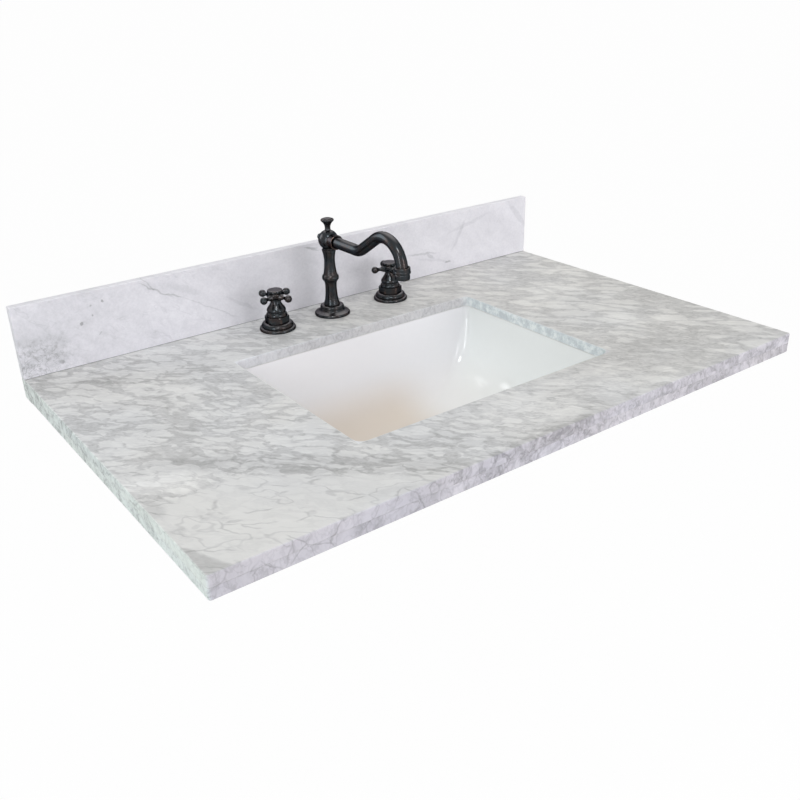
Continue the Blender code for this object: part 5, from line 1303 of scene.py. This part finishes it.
# Lamps: place, width, height, radiance, colour, and whether only matt or only glossy surfaces see them
LAMPS = {
    "window_left": ((-1.9, -1.25, 1.15), 1.6, 1.4, 2.6, srgb(249, 252, 255), "matt"),
    "strip_left": ((-1.7, -1.1, 0.6), 0.2, 1.2, 10.0, srgb(249, 252, 255), "glossy"),
    "strip_right": ((0.35, -2.3, 0.6), 0.2, 1.2, 10.0, srgb(253, 252, 255), "glossy"),
    "ceiling": ((0.1, -0.5, 2.1), 1.5, 1.1, 2.05, srgb(255, 254, 253), "matt"),
    "rear_panel": ((-1.2, 1.5, 0.85), 1.4, 1.3, 3.2, srgb(253, 254, 255), "glossy"),
    "key_panel": ((-0.75, -1.35, 1.95), 0.6, 0.5, 12.0, srgb(252, 255, 254), "glossy"),
    "front_fill": ((1.2, -3.0, 0.6), 2.4, 1.4, 2.5, srgb(253, 252, 255), "matt"),
}


def make_camera():
    data = bpy.data.cameras.new("camera")
    data.lens = CAMERA_LENS
    data.sensor_width = SENSOR_WIDTH
    data.clip_end = CAMERA_RANGE
    camera = linked("camera", data)
    heading, down, roll = CAMERA_HEADING, CAMERA_DOWN, CAMERA_ROLL
    ahead = Vector((math.sin(heading) * math.cos(down), math.cos(heading) * math.cos(down), -math.sin(down)))
    level = Vector((math.cos(heading), -math.sin(heading), 0.0))
    above = level.cross(ahead)
    right = level * math.cos(roll) + above * math.sin(roll)
    up = above * math.cos(roll) - level * math.sin(roll)
    camera.matrix_world = Matrix.Translation(CAMERA_PLACE) @ Matrix((right, up, -ahead)).transposed().to_4x4()
    bpy.context.scene.camera = camera


def seen_as_white(tree):
    """1 for rays from the camera and for rays that metal, glaze or glass send on."""
    path = add_node(tree, "LightPath").outputs
    total = path["Is Camera Ray"]
    for name in ("Is Glossy Ray", "Is Transmission Ray"):
        total = add_node(tree, "Math", {0: total, 1: path[name]}, operation="MAXIMUM").outputs[0]
    return total


def make_world():
    """A pale sky for the camera, and soft light whose colour changes a little with where it comes from."""
    world = bpy.data.worlds.new("studio")
    bpy.context.scene.world = world
    tree = empty_tree(world)
    ray = add_node(tree, "TexCoord").outputs["Generated"]
    parts = add_node(tree, "SeparateXYZ", {0: ray}).outputs
    colour = WHITE
    for axis, sign, light in SKY_LIGHTS:
        share = add_node(tree, "Math", {0: parts[axis], 1: sign}, operation="MULTIPLY", use_clamp=True)
        mixed = add_node(tree, "Mix", {0: share.outputs[0], 6: colour, 7: light}, data_type="RGBA")
        colour = mixed.outputs[2]
    light = add_node(tree, "Background", {"Color": colour, "Strength": AMBIENT})
    pale = add_node(tree, "Background", {"Color": SKY_COLOUR, "Strength": 1.0})
    show(tree, "OutputWorld", seen_as_white(tree), light, pale)


def show(tree, output, share, unseen, seen):
    """Put out one shader, mixed by a share with the other."""
    mixed = add_node(tree, "MixShader", {0: share, 1: unseen.outputs[0], 2: seen.outputs[0]})
    add_node(tree, output, {"Surface": mixed.outputs[0]})


def make_floor():
    """A pale floor at the foot of the cabinet that such a top stands on."""
    bm = bmesh.new()
    bmesh.ops.create_grid(bm, x_segments=FLOOR_GRID, y_segments=FLOOR_GRID, size=FLOOR_REACH,
                          matrix=Matrix.Translation((0.0, 0.0, -FLOOR_DROP)))
    mesh = bpy.data.meshes.new("floor")
    bm.to_mesh(mesh)
    bm.free()
    material = bpy.data.materials.new("pale_floor")
    tree = empty_tree(material)
    matt = add_node(tree, "BsdfDiffuse", {"Color": FLOOR_COLOUR})
    white = add_node(tree, "Emission", {"Color": WHITE, "Strength": 1.0})
    seen = {0: seen_as_white(tree), 1: FLOOR_WHITE_SHARE}
    share = add_node(tree, "Math", seen, operation="MULTIPLY").outputs[0]
    show(tree, "OutputMaterial", share, matt, white)
    mesh.materials.append(material)
    linked("floor", mesh)


def make_lamp(name, place, width, height, radiance, colour, seen_by):
    """A rectangular lamp that faces the target. Its power follows from its radiance and area."""
    data = bpy.data.lights.new(name, "AREA")
    data.shape = "RECTANGLE"
    data.size, data.size_y = width, height
    data.energy = radiance * math.pi * width * height
    data.color = colour[:3]
    lamp = linked(name, data)
    lamp.rotation_euler = (Vector(place) - LAMP_TARGET).to_track_quat("Z", "Y").to_euler()
    lamp.location = place
    lamp.visible_diffuse = seen_by == "matt"
    lamp.visible_glossy = seen_by == "glossy"


dress_nodes()
for valve_side in ("left", "right"):
    valve(valve_side)
spout()
basin()
make_camera()
make_world()
make_floor()
for lamp_name, lamp_values in LAMPS.items():
    make_lamp(lamp_name, *lamp_values)
bpy.context.scene.view_settings.view_transform = "Standard"
